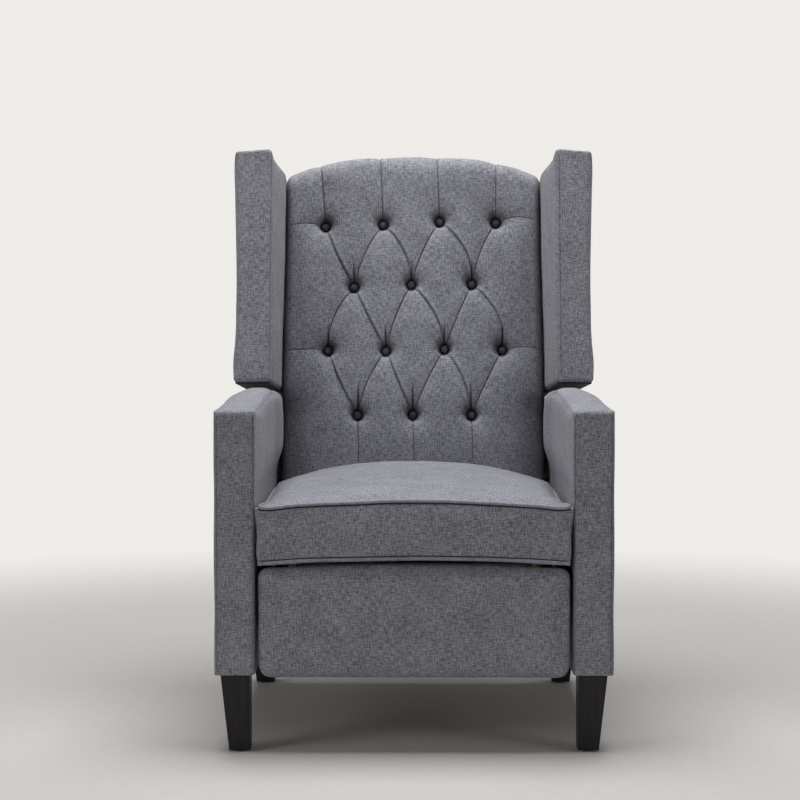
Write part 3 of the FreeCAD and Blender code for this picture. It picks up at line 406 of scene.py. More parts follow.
@contextlib.contextmanager
def editing(piece):
    """Opens the piece's mesh for editing and writes it back."""
    edit = bmesh.new()
    edit.from_mesh(piece.data)
    yield edit
    edit.to_mesh(piece.data)
    edit.free()


def loft(name, rings):
    """A closed form through rings of equally many points, with a flat face at each end."""
    faces = ring_faces(len(rings), len(rings[0]))
    piece = mesh_piece(name, [p for ring in rings for p in ring], faces)
    with editing(piece) as edit:
        bmesh.ops.recalc_face_normals(edit, faces=edit.faces)
    return piece


def box_form(name, low, high, flat_axis):
    """A closed box between two corners, lofted along one axis."""
    rings = []
    for end in (low, high):
        a, b = [axis for axis in range(3) if axis != flat_axis]
        ring = []
        for u, v in ((low[a], low[b]), (high[a], low[b]), (high[a], high[b]), (low[a], high[b])):
            corner = Vector(end)
            corner[a], corner[b] = u, v
            ring.append(corner)
        rings.append(ring)
    return loft(name, rings)


# %% Rounding and cutting pieces


def round_edges(piece, radius, segments=3, sharp=30.0):
    """Bevels every edge that turns by more than the given angle, in degrees."""
    with editing(piece) as edit:
        inner = [e for e in edit.edges if len(e.link_faces) == 2]
        bmesh.ops.bevel(
            edit, geom=[e for e in inner if e.calc_face_angle(0) > math.radians(sharp)], offset=radius,
            segments=segments, profile=0.5, affect="EDGES", clamp_overlap=True,
        )


def cut_into_cells(piece, steps):
    """Slices the form by planes along each axis, so that flat faces get points that can move."""
    with editing(piece) as edit:
        corners = np.array([v.co for v in edit.verts])
        for axis, step in enumerate(steps):
            if step:
                low, high = corners[:, axis].min(), corners[:, axis].max()
                count = max(1, round((high - low) / step))
                normal = Vector([1.0 if a == axis else 0.0 for a in range(3)])
                for i in range(1, count):
                    spot = normal * (low + (high - low) * i / count)
                    geometry = edit.verts[:] + edit.edges[:] + edit.faces[:]
                    bmesh.ops.bisect_plane(edit, geom=geometry, plane_co=spot, plane_no=normal, dist=0.0004)


# %% Points and modifiers


def points_of(mesh):
    flat = np.zeros(len(mesh.vertices) * 3)
    mesh.vertices.foreach_get("co", flat)
    return flat.reshape(-1, 3)


def set_points(mesh, points):
    mesh.vertices.foreach_set("co", points.ravel())
    mesh.update()


def apply_modifiers(piece):
    bpy.context.view_layer.update()
    made = bpy.data.meshes.new_from_object(piece.evaluated_get(bpy.context.evaluated_depsgraph_get()))
    piece.modifiers.clear()
    piece.data = made


def subdivide(piece, levels=1):
    smooth = piece.modifiers.new("smooth", "SUBSURF")
    smooth.levels = levels
    smooth.render_levels = levels
    apply_modifiers(piece)


def relax(piece, rounds, share=0.5):
    """Evens out a mesh: every point moves towards the middle of its neighbours."""
    mesh = piece.data
    ends = np.zeros(len(mesh.edges) * 2, np.int64)
    mesh.edges.foreach_get("vertices", ends)
    a, b = ends.reshape(-1, 2).T
    points = points_of(mesh)
    degree = np.bincount(a, minlength=len(points)) + np.bincount(b, minlength=len(points))
    for _ in range(rounds):
        total = np.zeros_like(points)
        np.add.at(total, a, points[b])
        np.add.at(total, b, points[a])
        points += (total / degree[:, None] - points) * share
    set_points(mesh, points)


# %% Handing pieces over


def mirror_copy(piece, name):
    """The same piece for the other side of the chair, with its faces turned the right way."""
    mesh = piece.data.copy()
    set_points(mesh, points_of(mesh) * np.array([-1.0, 1.0, 1.0]))
    mesh.flip_normals()
    copy = bpy.data.objects.new(name, mesh)
    scene.collection.objects.link(copy)
    return copy


def dress(piece, material, body, nodes=(), smooth=True):
    """Shades a finished piece, gives it its finish and hands it to the body that carries it."""
    piece.data.materials.clear()
    piece.data.materials.append(material)
    if smooth:
        piece.data.polygons.foreach_set("use_smooth", [True] * len(piece.data.polygons))
    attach(piece, body)
    if nodes:
        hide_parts(*nodes)
    return piece


# %% [markdown]
# ## Blowing up a pad
#
# Foam and wadding press the cover out between its seams. Cloth simulation copies that: the form is remeshed
# into even cells, becomes cloth, and air pressure blows it up for a few frames while the places that are
# sewn or stapled down are held. A limit keeps any point from moving too far. Moving points by a formula
# would be quicker, but it doesn't find the shape that cloth takes near a corner.

# %% Cloth helper


def puff(pad, voxel, cap, held, pressure=4.0, frames=20, evening=4):
    """Remeshes the pad, blows it up as cloth with the held points fixed, and makes it a plain mesh again."""
    if voxel:
        remesh = pad.modifiers.new("remesh", "REMESH")
        remesh.mode = "VOXEL"
        remesh.voxel_size = voxel
        apply_modifiers(pad)
        relax(pad, evening)
    rest = points_of(pad.data)
    weights = np.clip(held(rest), 0, 1)
    group = pad.vertex_groups.new(name="held")
    for index in np.nonzero(weights > 0.01)[0]:
        group.add([int(index)], float(weights[index]), "REPLACE")
    cloth = pad.modifiers.new("cloth", "CLOTH")
    cloth.settings.quality = 4
    cloth.settings.mass = 0.25
    cloth.settings.tension_stiffness = 18
    cloth.settings.compression_stiffness = 18
    cloth.settings.shear_stiffness = 8
    cloth.settings.bending_stiffness = 0.6
    cloth.settings.use_pressure = True
    cloth.settings.uniform_pressure_force = pressure
    cloth.settings.effector_weights.gravity = 0
    cloth.settings.vertex_group_mass = "held"
    cloth.collision_settings.use_collision = False
    for index in range(1, frames + 1):
        scene.frame_set(index)
    moved = points_of(pad.evaluated_get(bpy.context.evaluated_depsgraph_get()).data)
    pad.modifiers.clear()
    scene.frame_set(1)
    step = moved - rest
    length = np.linalg.norm(step, axis=1) + 1e-9
    set_points(pad.data, rest + step * (cap * np.tanh(length / cap) / length)[:, None])
    relax(pad, 1, 0.3)
    print(pad.name, "cloth points", len(rest), "moved up to", round(float(length.max()) * 1000, 1), "mm")


def smoothstep(value, low, high):
    t = np.clip((np.asarray(value, float) - low) / (high - low), 0, 1)
    return t * t * (3 - 2 * t)


def soften(piece, amount, size):
    """Gives a padded face the slight unevenness of wadding, along its normals."""
    mesh = piece.data
    points = points_of(mesh)
    normals = np.zeros(len(points) * 3)
    mesh.vertex_normals.foreach_get("vector", normals)
    lift = np.array([noise.noise(Vector(p) / size) for p in points])
    set_points(mesh, points + normals.reshape(-1, 3) * (lift * amount)[:, None])


# %% [markdown]
# ## Seams, stitches and welts
#
# A seam on this cloth is a fine groove with a row of topstitching on one or both sides, and the seat's seams
# carry a welt, which is a cord wrapped in the same cloth. The stitches are real little threads laid on the
# finished surface: a ray cast from outside finds the cover, and each stitch dips into it at both ends.

# %% Tubes


def tube(name, path, radius, sides=8):
    """A round tube along a path of points."""
    path = [Vector(p) for p in path]
    points = []
    side = None
    for i, here in enumerate(path):
        along = (path[min(i + 1, len(path) - 1)] - path[max(i - 1, 0)]).normalized()
        if side is None:
            side = along.orthogonal().normalized()
        side = (side - along * side.dot(along)).normalized()
        other = along.cross(side)
        for k in range(sides):
            turn = 2 * math.pi * k / sides
            points.append(here + (side * math.cos(turn) + other * math.sin(turn)) * radius)
    return mesh_piece(name, points, ring_faces(len(path), sides))


# %% Lines on a surface


def surface_of(piece):
    edit = bmesh.new()
    edit.from_mesh(piece.data)
    tree = BVHTree.FromBMesh(edit)
    edit.free()
    return tree


def laid_on(tree, path, outside, reach=0.06):
    """Drops each point of a path onto a surface, along the direction that points outside."""
    found = []
    for p, out in zip(path, outside):
        out = Vector(out).normalized()
        spot, normal, _, _ = tree.ray_cast(Vector(p) + out * reach, -out, reach * 2)
        if spot is not None:
            found.append((spot, normal if normal.dot(out) > 0 else -normal))
    return found


def evenly(points, step):
    """The same line with points at an even spacing."""
    points = np.array([tuple(p) for p in points])
    lengths = np.concatenate([[0], np.cumsum(np.linalg.norm(np.diff(points, axis=0), axis=1))])
    count = max(2, int(lengths[-1] / step) + 1)
    wanted = np.linspace(0, lengths[-1], count)
    return np.stack([np.interp(wanted, lengths, points[:, axis]) for axis in range(3)], axis=1)


# %% Stitches


def stitches(name, laid, pitch=0.0052, length=0.0036, radius=0.00045):
    """A row of stitches: short threads that stand on the cloth and dip into it at both ends."""
    places = np.array([tuple(spot) for spot, _ in laid])
    ways = np.array([tuple(normal) for _, normal in laid])
    lengths = np.concatenate([[0], np.cumsum(np.linalg.norm(np.diff(places, axis=0), axis=1))])
    points, faces = [], []
    sides = 5
    for start in np.arange(pitch * 0.3, lengths[-1] - length, pitch):
        middle = []
        for share, lift in ((0.0, -0.4), (0.2, 0.7), (0.5, 1.0), (0.8, 0.7), (1.0, -0.4)):
            at = start + length * share
            spot = Vector([np.interp(at, lengths, places[:, a]) for a in range(3)])
            up = Vector([np.interp(at, lengths, ways[:, a]) for a in range(3)]).normalized()
            middle.append((spot + up * radius * lift, up))
        along = (middle[-1][0] - middle[0][0]).normalized()
        faces += ring_faces(len(middle), sides, len(points))
        for spot, up in middle:
            side = along.cross(up).normalized()
            for k in range(sides):
                turn = 2 * math.pi * k / sides
                points.append(spot + (side * math.cos(turn) + up * math.sin(turn)) * radius)
    return mesh_piece(name, points, faces)


def topstitched_seam(name, tree, path, outside, body, offsets=(0.0,), across=(1, 0, 0), groove=True):
    """Lays a dark tube as painted seam shade, and its rows of stitches, each offset across the seam."""
    made = []
    line = evenly(path, 0.004)
    ways = [outside] * len(line) if not callable(outside) else [outside(p) for p in line]
    if groove:
        laid = laid_on(tree, line, ways)
        # The groove is a thin dark tube on the cover: painted shade, not a real groove.
        groove_shade_line = tube(name + "_groove", [s - n * 0.0002 for s, n in laid], 0.0007, 6)
        made.append(dress(groove_shade_line, seam_shadow, body))
    for index, offset in enumerate(offsets):
        laid = laid_on(tree, line + np.array(across) * offset, ways)
        row = stitches(f"{name}_stitches_{index}", laid)
        made.append(dress(row, thread, body))
    return made


# %% [markdown]
# ## Sizes shared with the frame
#
# The forms below sit where the CAD solids are, so their sizes are read from the nodes' boxes, and the lean of
# the back is the one that the frame was built with. A point of the back is given by its side place, its depth
# behind the face and its height along the lean.

# %% Places
arm_low, arm_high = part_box("arm_right")
LEAN = math.radians(13.0)
BACK_PLANE_Y = 0.1137
BACK_PLANE_Z = 0.450
BACK_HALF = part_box("back_cushion")[1].x
WING_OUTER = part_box("wing_right")[1].x
WING_TOP_Z = 1.064
WING_LOW_Z = 0.6165
WING_LOW_SLOPE = 0.086


def leaned(x, depth, height):
    """A point of the back in the chair's frame."""
    return Vector(
        (
            x,
            BACK_PLANE_Y + depth * math.cos(LEAN) + height * math.sin(LEAN),
            BACK_PLANE_Z - depth * math.sin(LEAN) + height * math.cos(LEAN),
        )
    )


def unleaned(points):
    """Side place, depth and height of points given in the chair's frame."""
    y = points[:, 1] - BACK_PLANE_Y
    z = points[:, 2] - BACK_PLANE_Z
    depth = y * math.cos(LEAN) - z * math.sin(LEAN)
    height = y * math.sin(LEAN) + z * math.cos(LEAN)
    return points[:, 0], depth, height


print("arm", [round(v, 4) for v in arm_low], [round(v, 4) for v in arm_high])

# %% [markdown]
# ## The arms
#
# An arm is a narrow box of board and foam. Its top is crowned and falls a little behind the wing, its front
# is a flat panel with rolled edges, and its inner side swells towards the sitter above the seat and stays
# flat beside the steel. Sections along the arm give that shape. The seams run where the front panel meets
# the inner side, along its outer edge and over the inner top edge.

# %% Arm section
ARM_INNER, ARM_OUTER = arm_low.x, arm_high.x
ARM_FRONT, ARM_REAR = arm_low.y, arm_high.y
ARM_FOOT = arm_low.z - 0.003
# At the front: heights of the top's outer and inner edge, and how the inner edge is rounded. Each has the
# amount that it gains towards the crest.
OUTER_TOP, OUTER_GAIN = 0.5845, 0.0110
INNER_TOP, INNER_GAIN = 0.5850, 0.0245
EDGE_ROUND, ROUND_GAIN = 0.007, 0.012
SWELL_FRONT, SWELL_GAIN, SWELL_BY_THE_BACK = 0.0034, 0.0060, 0.0095


def arm_ring(y, inset=0.0):
    """Outline of the arm across its length at y, from the inner foot over the top to the outer foot."""
    crest = float(smoothstep(y, ARM_FRONT + 0.02, -0.035))
    behind = 0.006 * float(smoothstep(y, -0.022, 0.010)) + 0.020 * float(smoothstep(y, 0.0, ARM_REAR))
    shoulder = OUTER_TOP + OUTER_GAIN * crest - behind
    apex = INNER_TOP + INNER_GAIN * crest - behind
    corner = EDGE_ROUND + ROUND_GAIN * crest
    swell = SWELL_FRONT + SWELL_GAIN * float(smoothstep(y, ARM_FRONT + 0.02, -0.06))
    swell += SWELL_BY_THE_BACK * float(smoothstep(y, -0.03, 0.06) - smoothstep(y, 0.085, 0.135))
    swell -= 0.006 * float(smoothstep(y, 0.18, 0.25))
    inner = ARM_INNER - swell
    ring = []
    for z in [*np.linspace(ARM_FOOT, 0.42, 15), *np.linspace(0.43, apex - corner, 11)[:-1]]:
        fullness = 0.0004 + 0.0016 * float(smoothstep(z, 0.37, 0.41))
        fullness += (swell - 0.002) * float(smoothstep(z, 0.427, 0.500))
        ring.append(Vector((ARM_INNER - fullness, y, z)))
    for turn in np.linspace(0, math.pi / 2, 7):
        ring.append(Vector((inner + corner * (1 - math.cos(turn)), y, apex - corner * (1 - math.sin(turn)))))
    top = inner + corner
    for share in (0.2, 0.4, 0.6, 0.8, 0.93):
        ring.append(Vector((top + (ARM_OUTER - top) * share, y, apex - (apex - shoulder) * share**1.7)))
    ring += [Vector((ARM_OUTER, y, z)) for z in np.linspace(shoulder, ARM_FOOT, 24)]
    middle, half, tall = (ARM_INNER + ARM_OUTER) / 2, (ARM_OUTER - ARM_INNER) / 2, apex - ARM_FOOT
    narrowed, lowered = 1 - inset / half, 1 - inset / tall
    return [
        Vector((middle + (p.x - middle) * narrowed, y, ARM_FOOT + (p.z - ARM_FOOT) * lowered))
        for p in ring
    ]


# %% Arm as cloth
FRONT_ROLL = 0.008
turns = np.linspace(0, math.pi / 2, 6)
arm_rings = [
    arm_ring(ARM_FRONT + FRONT_ROLL * (1 - math.cos(t)), FRONT_ROLL * (1 - math.sin(t))) for t in turns
]
arm_rings += [arm_ring(y) for y in np.linspace(ARM_FRONT + FRONT_ROLL, ARM_REAR, 40)[1:]]
arm_right = loft("arm_right_cover", arm_rings)
round_edges(arm_right, 0.004, 3, 60)
cut_into_cells(arm_right, (0.017, 0, 0.02))


def arm_held(points):
    """Stapled edges, and the inner side where it is glued flat beside the steel and the seat."""
    x, y, z = points.T
    foot = 1 - smoothstep(z, ARM_FOOT + 0.01, ARM_FOOT + 0.03)
    front = 1 - smoothstep(y, ARM_FRONT + 0.004, ARM_FRONT + 0.012)
    rear = smoothstep(y, ARM_REAR - 0.02, ARM_REAR - 0.005)
    beside_seat = 1 - smoothstep(x, ARM_INNER + 0.004, ARM_INNER + 0.012)
    beside_seat = beside_seat * (1 - smoothstep(z, 0.434, 0.460))
    return np.maximum.reduce([foot, front, rear, beside_seat])


puff(arm_right, 0, 0.0025, arm_held, pressure=3.0, frames=12)
subdivide(arm_right)
soften(arm_right, 0.0009, 0.07)
arm_left = mirror_copy(arm_right, "arm_left_cover")
for arm, node in ((arm_right, "arm_right"), (arm_left, "arm_left")):
    dress(arm, upholstery, "base", [node])
print("arm points", len(arm_right.data.vertices))

# %% Arm seams
for side, arm in ((1, arm_right), (-1, arm_left)):
    name = "arm_right" if side > 0 else "arm_left"
    skin = surface_of(arm)
    corner = side * (ARM_INNER + 0.0002)
    outer = side * (ARM_OUTER - 0.0055)
    low, high = ARM_FOOT + 0.004, 0.575
    front_line = [(corner, ARM_FRONT + 0.0015, z) for z in (low, high)]
    rows = (-0.0020 * side, 0.0042 * side)
    topstitched_seam(name + "_front_inner", skin, front_line, (-side * 0.4, -1, 0), "base", rows)
    outer_line = [(outer, ARM_FRONT, z) for z in (low, high)]
    rows = (-0.003 * side, 0.0026 * side)
    topstitched_seam(name + "_front_outer", skin, outer_line, (0, -1, 0), "base", rows)
    top_line = [
        (side * (ARM_INNER - 0.0005), ARM_FRONT + 0.009, 0.5790),
        (side * (ARM_INNER - 0.0060), -0.05, 0.6000),
        (side * (ARM_INNER - 0.0060), 0.0, 0.5960),
    ]
    slanted, across = (-side * 0.7, 0, 0.7), (0.8, 0, 0.6 * side)
    rows = (-0.0026 * side, 0.0036 * side)
    topstitched_seam(name + "_top_inner", skin, top_line, slanted, "base", rows, across)
print("arm seams laid")

# %% [markdown]
# ## The seat cushion
#
# The seat is a boxed cushion: a front band, side bands and a domed top panel, joined by welts. The blank has
# the bands and the dome already, and the cloth swells between the seams, which are held. The dome rises to
# the rear, and its rim leans out over the side bands, so that the cushion fills the room between the arms.

# %% Seat cushion section
seat_low, seat_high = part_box("seat_cushion")
SEAT_HALF = seat_high.x
SEAT_FRONT = seat_low.y
SEAT_BASE = seat_low.z
SEAT_TOP_FRONT, SEAT_TOP_REAR = 0.4230, 0.419
SEAT_CROWN_FRONT, SEAT_CROWN_GAIN = 0.010, 0.034
REAR_FOOT = BACK_PLANE_Y - 0.024 / math.cos(LEAN) - 0.002


def seat_rear(z):
    """Where the back's face stops the cushion, at height z."""
    return REAR_FOOT + (z - BACK_PLANE_Z) * math.tan(LEAN)


def rim_height(share):
    return SEAT_TOP_FRONT + (SEAT_TOP_REAR - SEAT_TOP_FRONT) * share


def rim_rise(x, share):
    """How far the top seam rises towards the middle of the front."""
    return 0.0125 * (1 - (x / SEAT_HALF) ** 2) * (1 - share)


def low_rise(x, share):
    return 0.010 * (1 - (x / SEAT_HALF) ** 2) * (1 - smoothstep(share, 0.0, 0.25))


def seat_ring(share):
    """Section across the cushion: flat under, swelling sides, arched top."""
    half = SEAT_HALF - 0.002
    top = rim_height(share)
    crown = SEAT_CROWN_FRONT + SEAT_CROWN_GAIN * share
    outline = [
        (x * half, SEAT_BASE + 0.002 + float(low_rise(x * half, share))) for x in np.linspace(-1, 1, 15)
    ]
    flare = ((0.25, 0.003), (0.5, 0.002), (0.75, 0.004), (0.9, 0.008))
    outline += [(half + out, SEAT_BASE + (top - SEAT_BASE) * t) for t, out in flare]
    outline += [
        (x * (half + 0.010), top + crown * (1 - abs(x) ** 2.5) - 0.001) for x in np.linspace(1, -1, 21)
    ]
    outline += [(-half - out, SEAT_BASE + (top - SEAT_BASE) * t) for t, out in flare[::-1]]
    front = SEAT_FRONT + 0.005
    return [Vector((x, front + (seat_rear(z) - front) * share, z)) for x, z in outline]


# %% Seat cushion as cloth
seat_pad = loft("seat_cushion_cover", [seat_ring(share) for share in np.linspace(0, 1, 14)])


def seat_held(points):
    """The underside, and the line of the welts round the front band."""
    x, y, z = points.T
    under = 1 - smoothstep(z, SEAT_BASE + 0.004, SEAT_BASE + 0.016)
    front = 1 - smoothstep(y, SEAT_FRONT + 0.004, SEAT_FRONT + 0.016)
    rim = front * (1 - smoothstep(np.abs(z - SEAT_TOP_FRONT - rim_rise(x, 0.0)), 0.003, 0.012))
    back = smoothstep(y - seat_rear(z), -0.02, -0.005)
    return np.maximum.reduce([under, rim, back * 0.8])


# The swollen cushion is fitted into the room between the arms, and its front corners are filled out.
HALF_ROOM, WIDEST, CORNER_FILL = 0.2692, 0.2688, 0.034
puff(seat_pad, 0.006, 0.012, seat_held, evening=2)
subdivide(seat_pad)
points = points_of(seat_pad.data)
points[:, 0] *= WIDEST / np.quantile(np.abs(points[:, 0]), 0.999)
points[:, 0] *= 1 + CORNER_FILL * (1 - smoothstep(points[:, 1], SEAT_FRONT, SEAT_FRONT + 0.05))
points[:, 0] = np.clip(points[:, 0], -HALF_ROOM, HALF_ROOM)
points[:, 1] = np.minimum(points[:, 1], seat_rear(points[:, 2]))
points[:, 2] = np.maximum(points[:, 2], SEAT_BASE)
set_points(seat_pad.data, points)
soften(seat_pad, 0.0012, 0.09)
dress(seat_pad, upholstery, "seat", ["seat_cushion"])
print("seat points", len(seat_pad.data.vertices))

# %% [markdown]
# The welts follow the seams round the cushion. Their line is worked out from the same section as the form,
# then drawn out to the swollen surface, so the cord is half sunk in the cloth as a sewn welt is. A thin
# near-black tube lies beside each cord, where the front band goes in to the seam: a painted shade, not a
# part.

# %% Seat welt lines
WELT_HALF, WELT_CORNER, WELT_END = 0.2672, 0.007, 0.05
WELT_RADIUS, WELT_LIFT = 0.0029, 0.0012


def welt_height(x, share, top):
    if top:
        lowered = 0.0120 * float(smoothstep(share, 0.03, 0.16))
        return rim_height(share) + rim_rise(x, share) + 0.0030 - lowered
    return SEAT_BASE + 0.0015 + float(low_rise(x, share))


def seat_welt_line(top):
    """The seam round the front and both sides, from the left rear to the right rear."""
    half, corner = WELT_HALF, WELT_CORNER
    side_run = [(-half, y) for y in np.linspace(WELT_END, SEAT_FRONT + corner, 40)]
    side_run += [
        (-half + corner * (1 - math.cos(turn)), SEAT_FRONT + corner * (1 - math.sin(turn)))
        for turn in np.linspace(0, math.pi / 2, 8)[1:-1]
    ]
    plan = side_run + [(x, SEAT_FRONT) for x in np.linspace(-half + corner, half - corner, 60)]
    plan += [(-x, y) for x, y in side_run[::-1]]
    return [
        (x, y, welt_height(x, (y - SEAT_FRONT) / 0.5 if abs(x) == half else 0, top)) for x, y in plan
    ]


# %% Welts on the cover
seat_skin = surface_of(seat_pad)


def on_seat_side(p, slant, lift):
    """The place on the cover under p, seen from outside along a slanting line, moved out by the lift."""
    middle = Vector((p[0] * 0.75, -0.18 + (p[1] + 0.18) * 0.75, p[2]))
    out = (Vector(p) - middle).normalized()
    out = (out + Vector((0, 0, slant))).normalized()
    spot, _, _, _ = seat_skin.ray_cast(Vector(p) + out * 0.03, -out, 0.08)
    return (spot if spot is not None else Vector(p)) + out * lift


def rim_slant(p, top):
    """A welt is sought from below, or round the front from above, so that it lies on the edge of the band."""
    return 0.8 * (1 - float(smoothstep(p[1], SEAT_FRONT + 0.004, SEAT_FRONT + 0.030))) if top else -0.8


def evened(line):
    """The same line with small steps between neighbours smoothed out; both ends stay."""
    for _ in range(3):
        line = [line[0]] + [(a + b * 2 + c) / 4 for a, b, c in zip(line, line[1:], line[2:])] + [line[-1]]
    return line


for label, top in (("top", True), ("bottom", False)):
    line = evenly(seat_welt_line(top), 0.004)
    cord = evened([on_seat_side(p, rim_slant(p, top), WELT_LIFT) for p in line])
    dress(tube(f"seat_welt_{label}", cord, WELT_RADIUS, 10), piping_cloth_painted_light, "seat")
    # Painted shade: a near-black tube beside each cord draws the shade of the seam.
    beside = Vector((0, 0, -0.0042 if top else 0.0038))
    seam = evened([on_seat_side(p + beside, 0.0, 0.0) for p in cord])
    dress(tube(f"seat_welt_{label}_seam", seam, 0.0013 if top else 0.0009, 6), dust_cloth_and_seam_shade, "seat")
    for part, laid in (("cord", cord), ("seam", seam)):
        steps = [(b - a).length for a, b in zip(laid, laid[1:])]
        print(label, part, "length", round(sum(steps), 3), "largest step", round(max(steps) * 1000, 1), "mm")

# %% [markdown]
# ## The footrest panel
#
# Closed, the footrest is the panel under the seat: a board with a thin pad and a cover that is pulled round
# its edges. The blank has rounded lower corners and a front that bulges a few millimetres.

# %% Footrest panel form
pad_low, pad_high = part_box("footrest_pad")
PAD_LOW_RADIUS, PAD_HIGH_RADIUS, PAD_RISE = 0.020, 0.009, 0.007


def pad_outline(inset, y):
    """Rounded rectangle of the panel, its top edge raised in the middle."""
    half = pad_high.x - inset
    low, high = pad_low.z - 0.003 + inset, pad_high.z - 0.001 - inset
    outline = []
    corners = ((half, low, -90), (half, high, 0), (-half, high, 90), (-half, low, 180))
    for index, (x, z, turn) in enumerate(corners):
        radius = PAD_LOW_RADIUS if z == low else PAD_HIGH_RADIUS
        middle = (x - math.copysign(radius, x), z + (radius if z == low else -radius))
        for step in range(7):
            angle = math.radians(turn + 90 * step / 6)
            outline.append((middle[0] + radius * math.cos(angle), middle[1] + radius * math.sin(angle)))
        if index == 1:
            outline += [(x1, high) for x1 in np.linspace(half - 0.03, -half + 0.03, 15)]
        if index == 3:
            outline += [(x1, low) for x1 in np.linspace(-half + 0.03, half - 0.03, 15)]
    lifts = [
        PAD_RISE * max(0.0, 1 - (x / half) ** 2) * float(smoothstep(z, low + 0.1, high)) for x, z in outline
    ]
    return [Vector((x, y, z + lift)) for (x, z), lift in zip(outline, lifts)]


pad_back = pad_high.y - 0.0005
pad_front = pad_low.y + 0.004
pad_sections = (
    (0.0, pad_back), (0.0, pad_back - 0.014), (0.001, pad_front + 0.006), (0.004, pad_front + 0.002),
    (0.009, pad_front),
)
footrest_pad = loft("footrest_pad_cover", [pad_outline(inset, y) for inset, y in pad_sections])


def pad_held(points):
    return smoothstep(points[:, 1], pad_back - 0.016, pad_back - 0.006)


puff(footrest_pad, 0.005, 0.005, pad_held, pressure=3.0, frames=14)
subdivide(footrest_pad)
points = points_of(footrest_pad.data)
points[:, 1] = np.clip(points[:, 1], pad_low.y - 0.002, pad_back)
set_points(footrest_pad.data, points)
soften(footrest_pad, 0.0009, 0.08)
dress(footrest_pad, upholstery, "footrest", ["footrest_pad"])
print("footrest points", len(footrest_pad.data.vertices))

# %% [markdown]
# ## The tufted back
#
# Buttons pull the cover deep into the foam, and the spare cloth between them folds into pleats. The pleats
# leave a button on a slant and drop almost straight onto the button below. First a plain block is blown up
# as cloth while the buttons and pleats are held, which gives the pillows between them. A fine sheet, with
# extra points along the folds, is then laid on that block, and the folds and wells are pressed into it.
# Sculpting each fold by hand would not repeat; a list of fold lines does.

# %% Tufting plan
TUFT_ROWS = ((3, 0.100), (4, 0.2315), (3, 0.3625), (4, 0.4895))
TUFT_PITCH = 0.113
# A hand sets each button a few millimetres off the plan. For each row from the bottom: how far aside and up.
HAND_OFFSETS = (
    ((0.004, 0), (-0.001, 0), (0.001, 0)),
    ((0.001, -0.002), (0.003, -0.004), (0.005, 0), (0.006, 0)),
    ((-0.004, -0.005), (-0.004, -0.001), (0.003, 0.001)),
    ((-0.005, -0.0065), (-0.003, -0.005), (-0.004, 0.001), (-0.005, 0.001)),
)
buttons = [
    [((i - (count - 1) / 2) * TUFT_PITCH + aside, height + up) for i, (aside, up) in enumerate(offsets)]
    for (count, height), offsets in zip(TUFT_ROWS, HAND_OFFSETS)
]
CUSHION_FOOT = -0.052
CUSHION_SIDE_TOP = 0.5905
CUSHION_ARCH = 0.039
CUSHION_CROWN = 0.024
CUSHION_LIP = 0.034
TOP_REAR = 0.133
TOP_NARROWING = 0.0055
crown_radius = (BACK_HALF**2 + CUSHION_CROWN**2) / (2 * CUSHION_CROWN)


# %% Pleats and creases


def diamond_pleat(upper, lower, bow):
    """From one button down to the next; the bow carries the fold out over the straight line."""
    share = np.linspace(0, 1, 24)
    x = upper[0] + (lower[0] - upper[0]) * (share + bow * np.sin(math.pi * share))
    return np.stack([x, upper[1] + (lower[1] - upper[1]) * share], axis=1)


# For each row from the top: how far each button's pleats bow, to the left and to the right.
PLEAT_BOWS = {
    3: ((None, -0.10), (0.14, 0.26), (0.10, 0.31), (0.14, None)),
    2: ((0.28, -0.05), (0.12, 0.22), (0.01, 0.36)),
    1: ((None, -0.10), (0.16, -0.05), (0.05, 0.20), (0.02, None)),
}
folds = []
for row, bows in PLEAT_BOWS.items():
    for upper, (left, right) in zip(buttons[row], bows):
        for lower in buttons[row - 1]:
            if abs(lower[0] - upper[0]) < TUFT_PITCH * 0.8:
                rightward = lower[0] > upper[0]
                line = diamond_pleat(upper, lower, right if rightward else left)
                folds.append((line, 0.55 if rightward else 1.0, 1.0, float(rightward)))
for (x, h), drift in zip(buttons[0], (0.004, 0.003, 0.004)):
    line = np.array([(x + drift * t, h + (CUSHION_FOOT - h) * t) for t in np.linspace(0, 1, 14)])
    folds.append((line, 0.9, 0.55, 0.0))
for (x, h), drift in zip(buttons[3], (-0.022, -0.012, -0.010, 0.002)):
    folds.append((np.array([(x + drift * t, h + 0.26 * t) for t in np.linspace(0, 1, 20)]), 1.0, 0.5, -0.5))
for row in (1, 3):
    for x, h in (buttons[row][0], buttons[row][-1]):
        side = math.copysign(1, x)
        reach = BACK_HALF - abs(x)
        bow = {(-1, 1): 0.0015, (-1, 3): 0.0045, (1, 1): 0.0040, (1, 3): 0.0095}[int(side), row]
        shares = np.linspace(0, 1, 14)
        line = [(x + side * reach * t, h + bow * math.sin(math.pi * t)) for t in shares]
        folds.append((np.array(line), 0.6, 0.3, 0.0))
creases = []
for row, length in ((0, 0.062), (1, 0.050), (2, 0.046)):
    for x, h in buttons[row]:
        lean = 0.0018 * math.sin(41 * x + row)
        creases.append(np.array([(x + lean * t, h + length * t) for t in np.linspace(0, 1, 8)]))
print("buttons", sum(len(row) for row in buttons), "folds", len(folds), "creases", len(creases))

# %% Distances to the folds


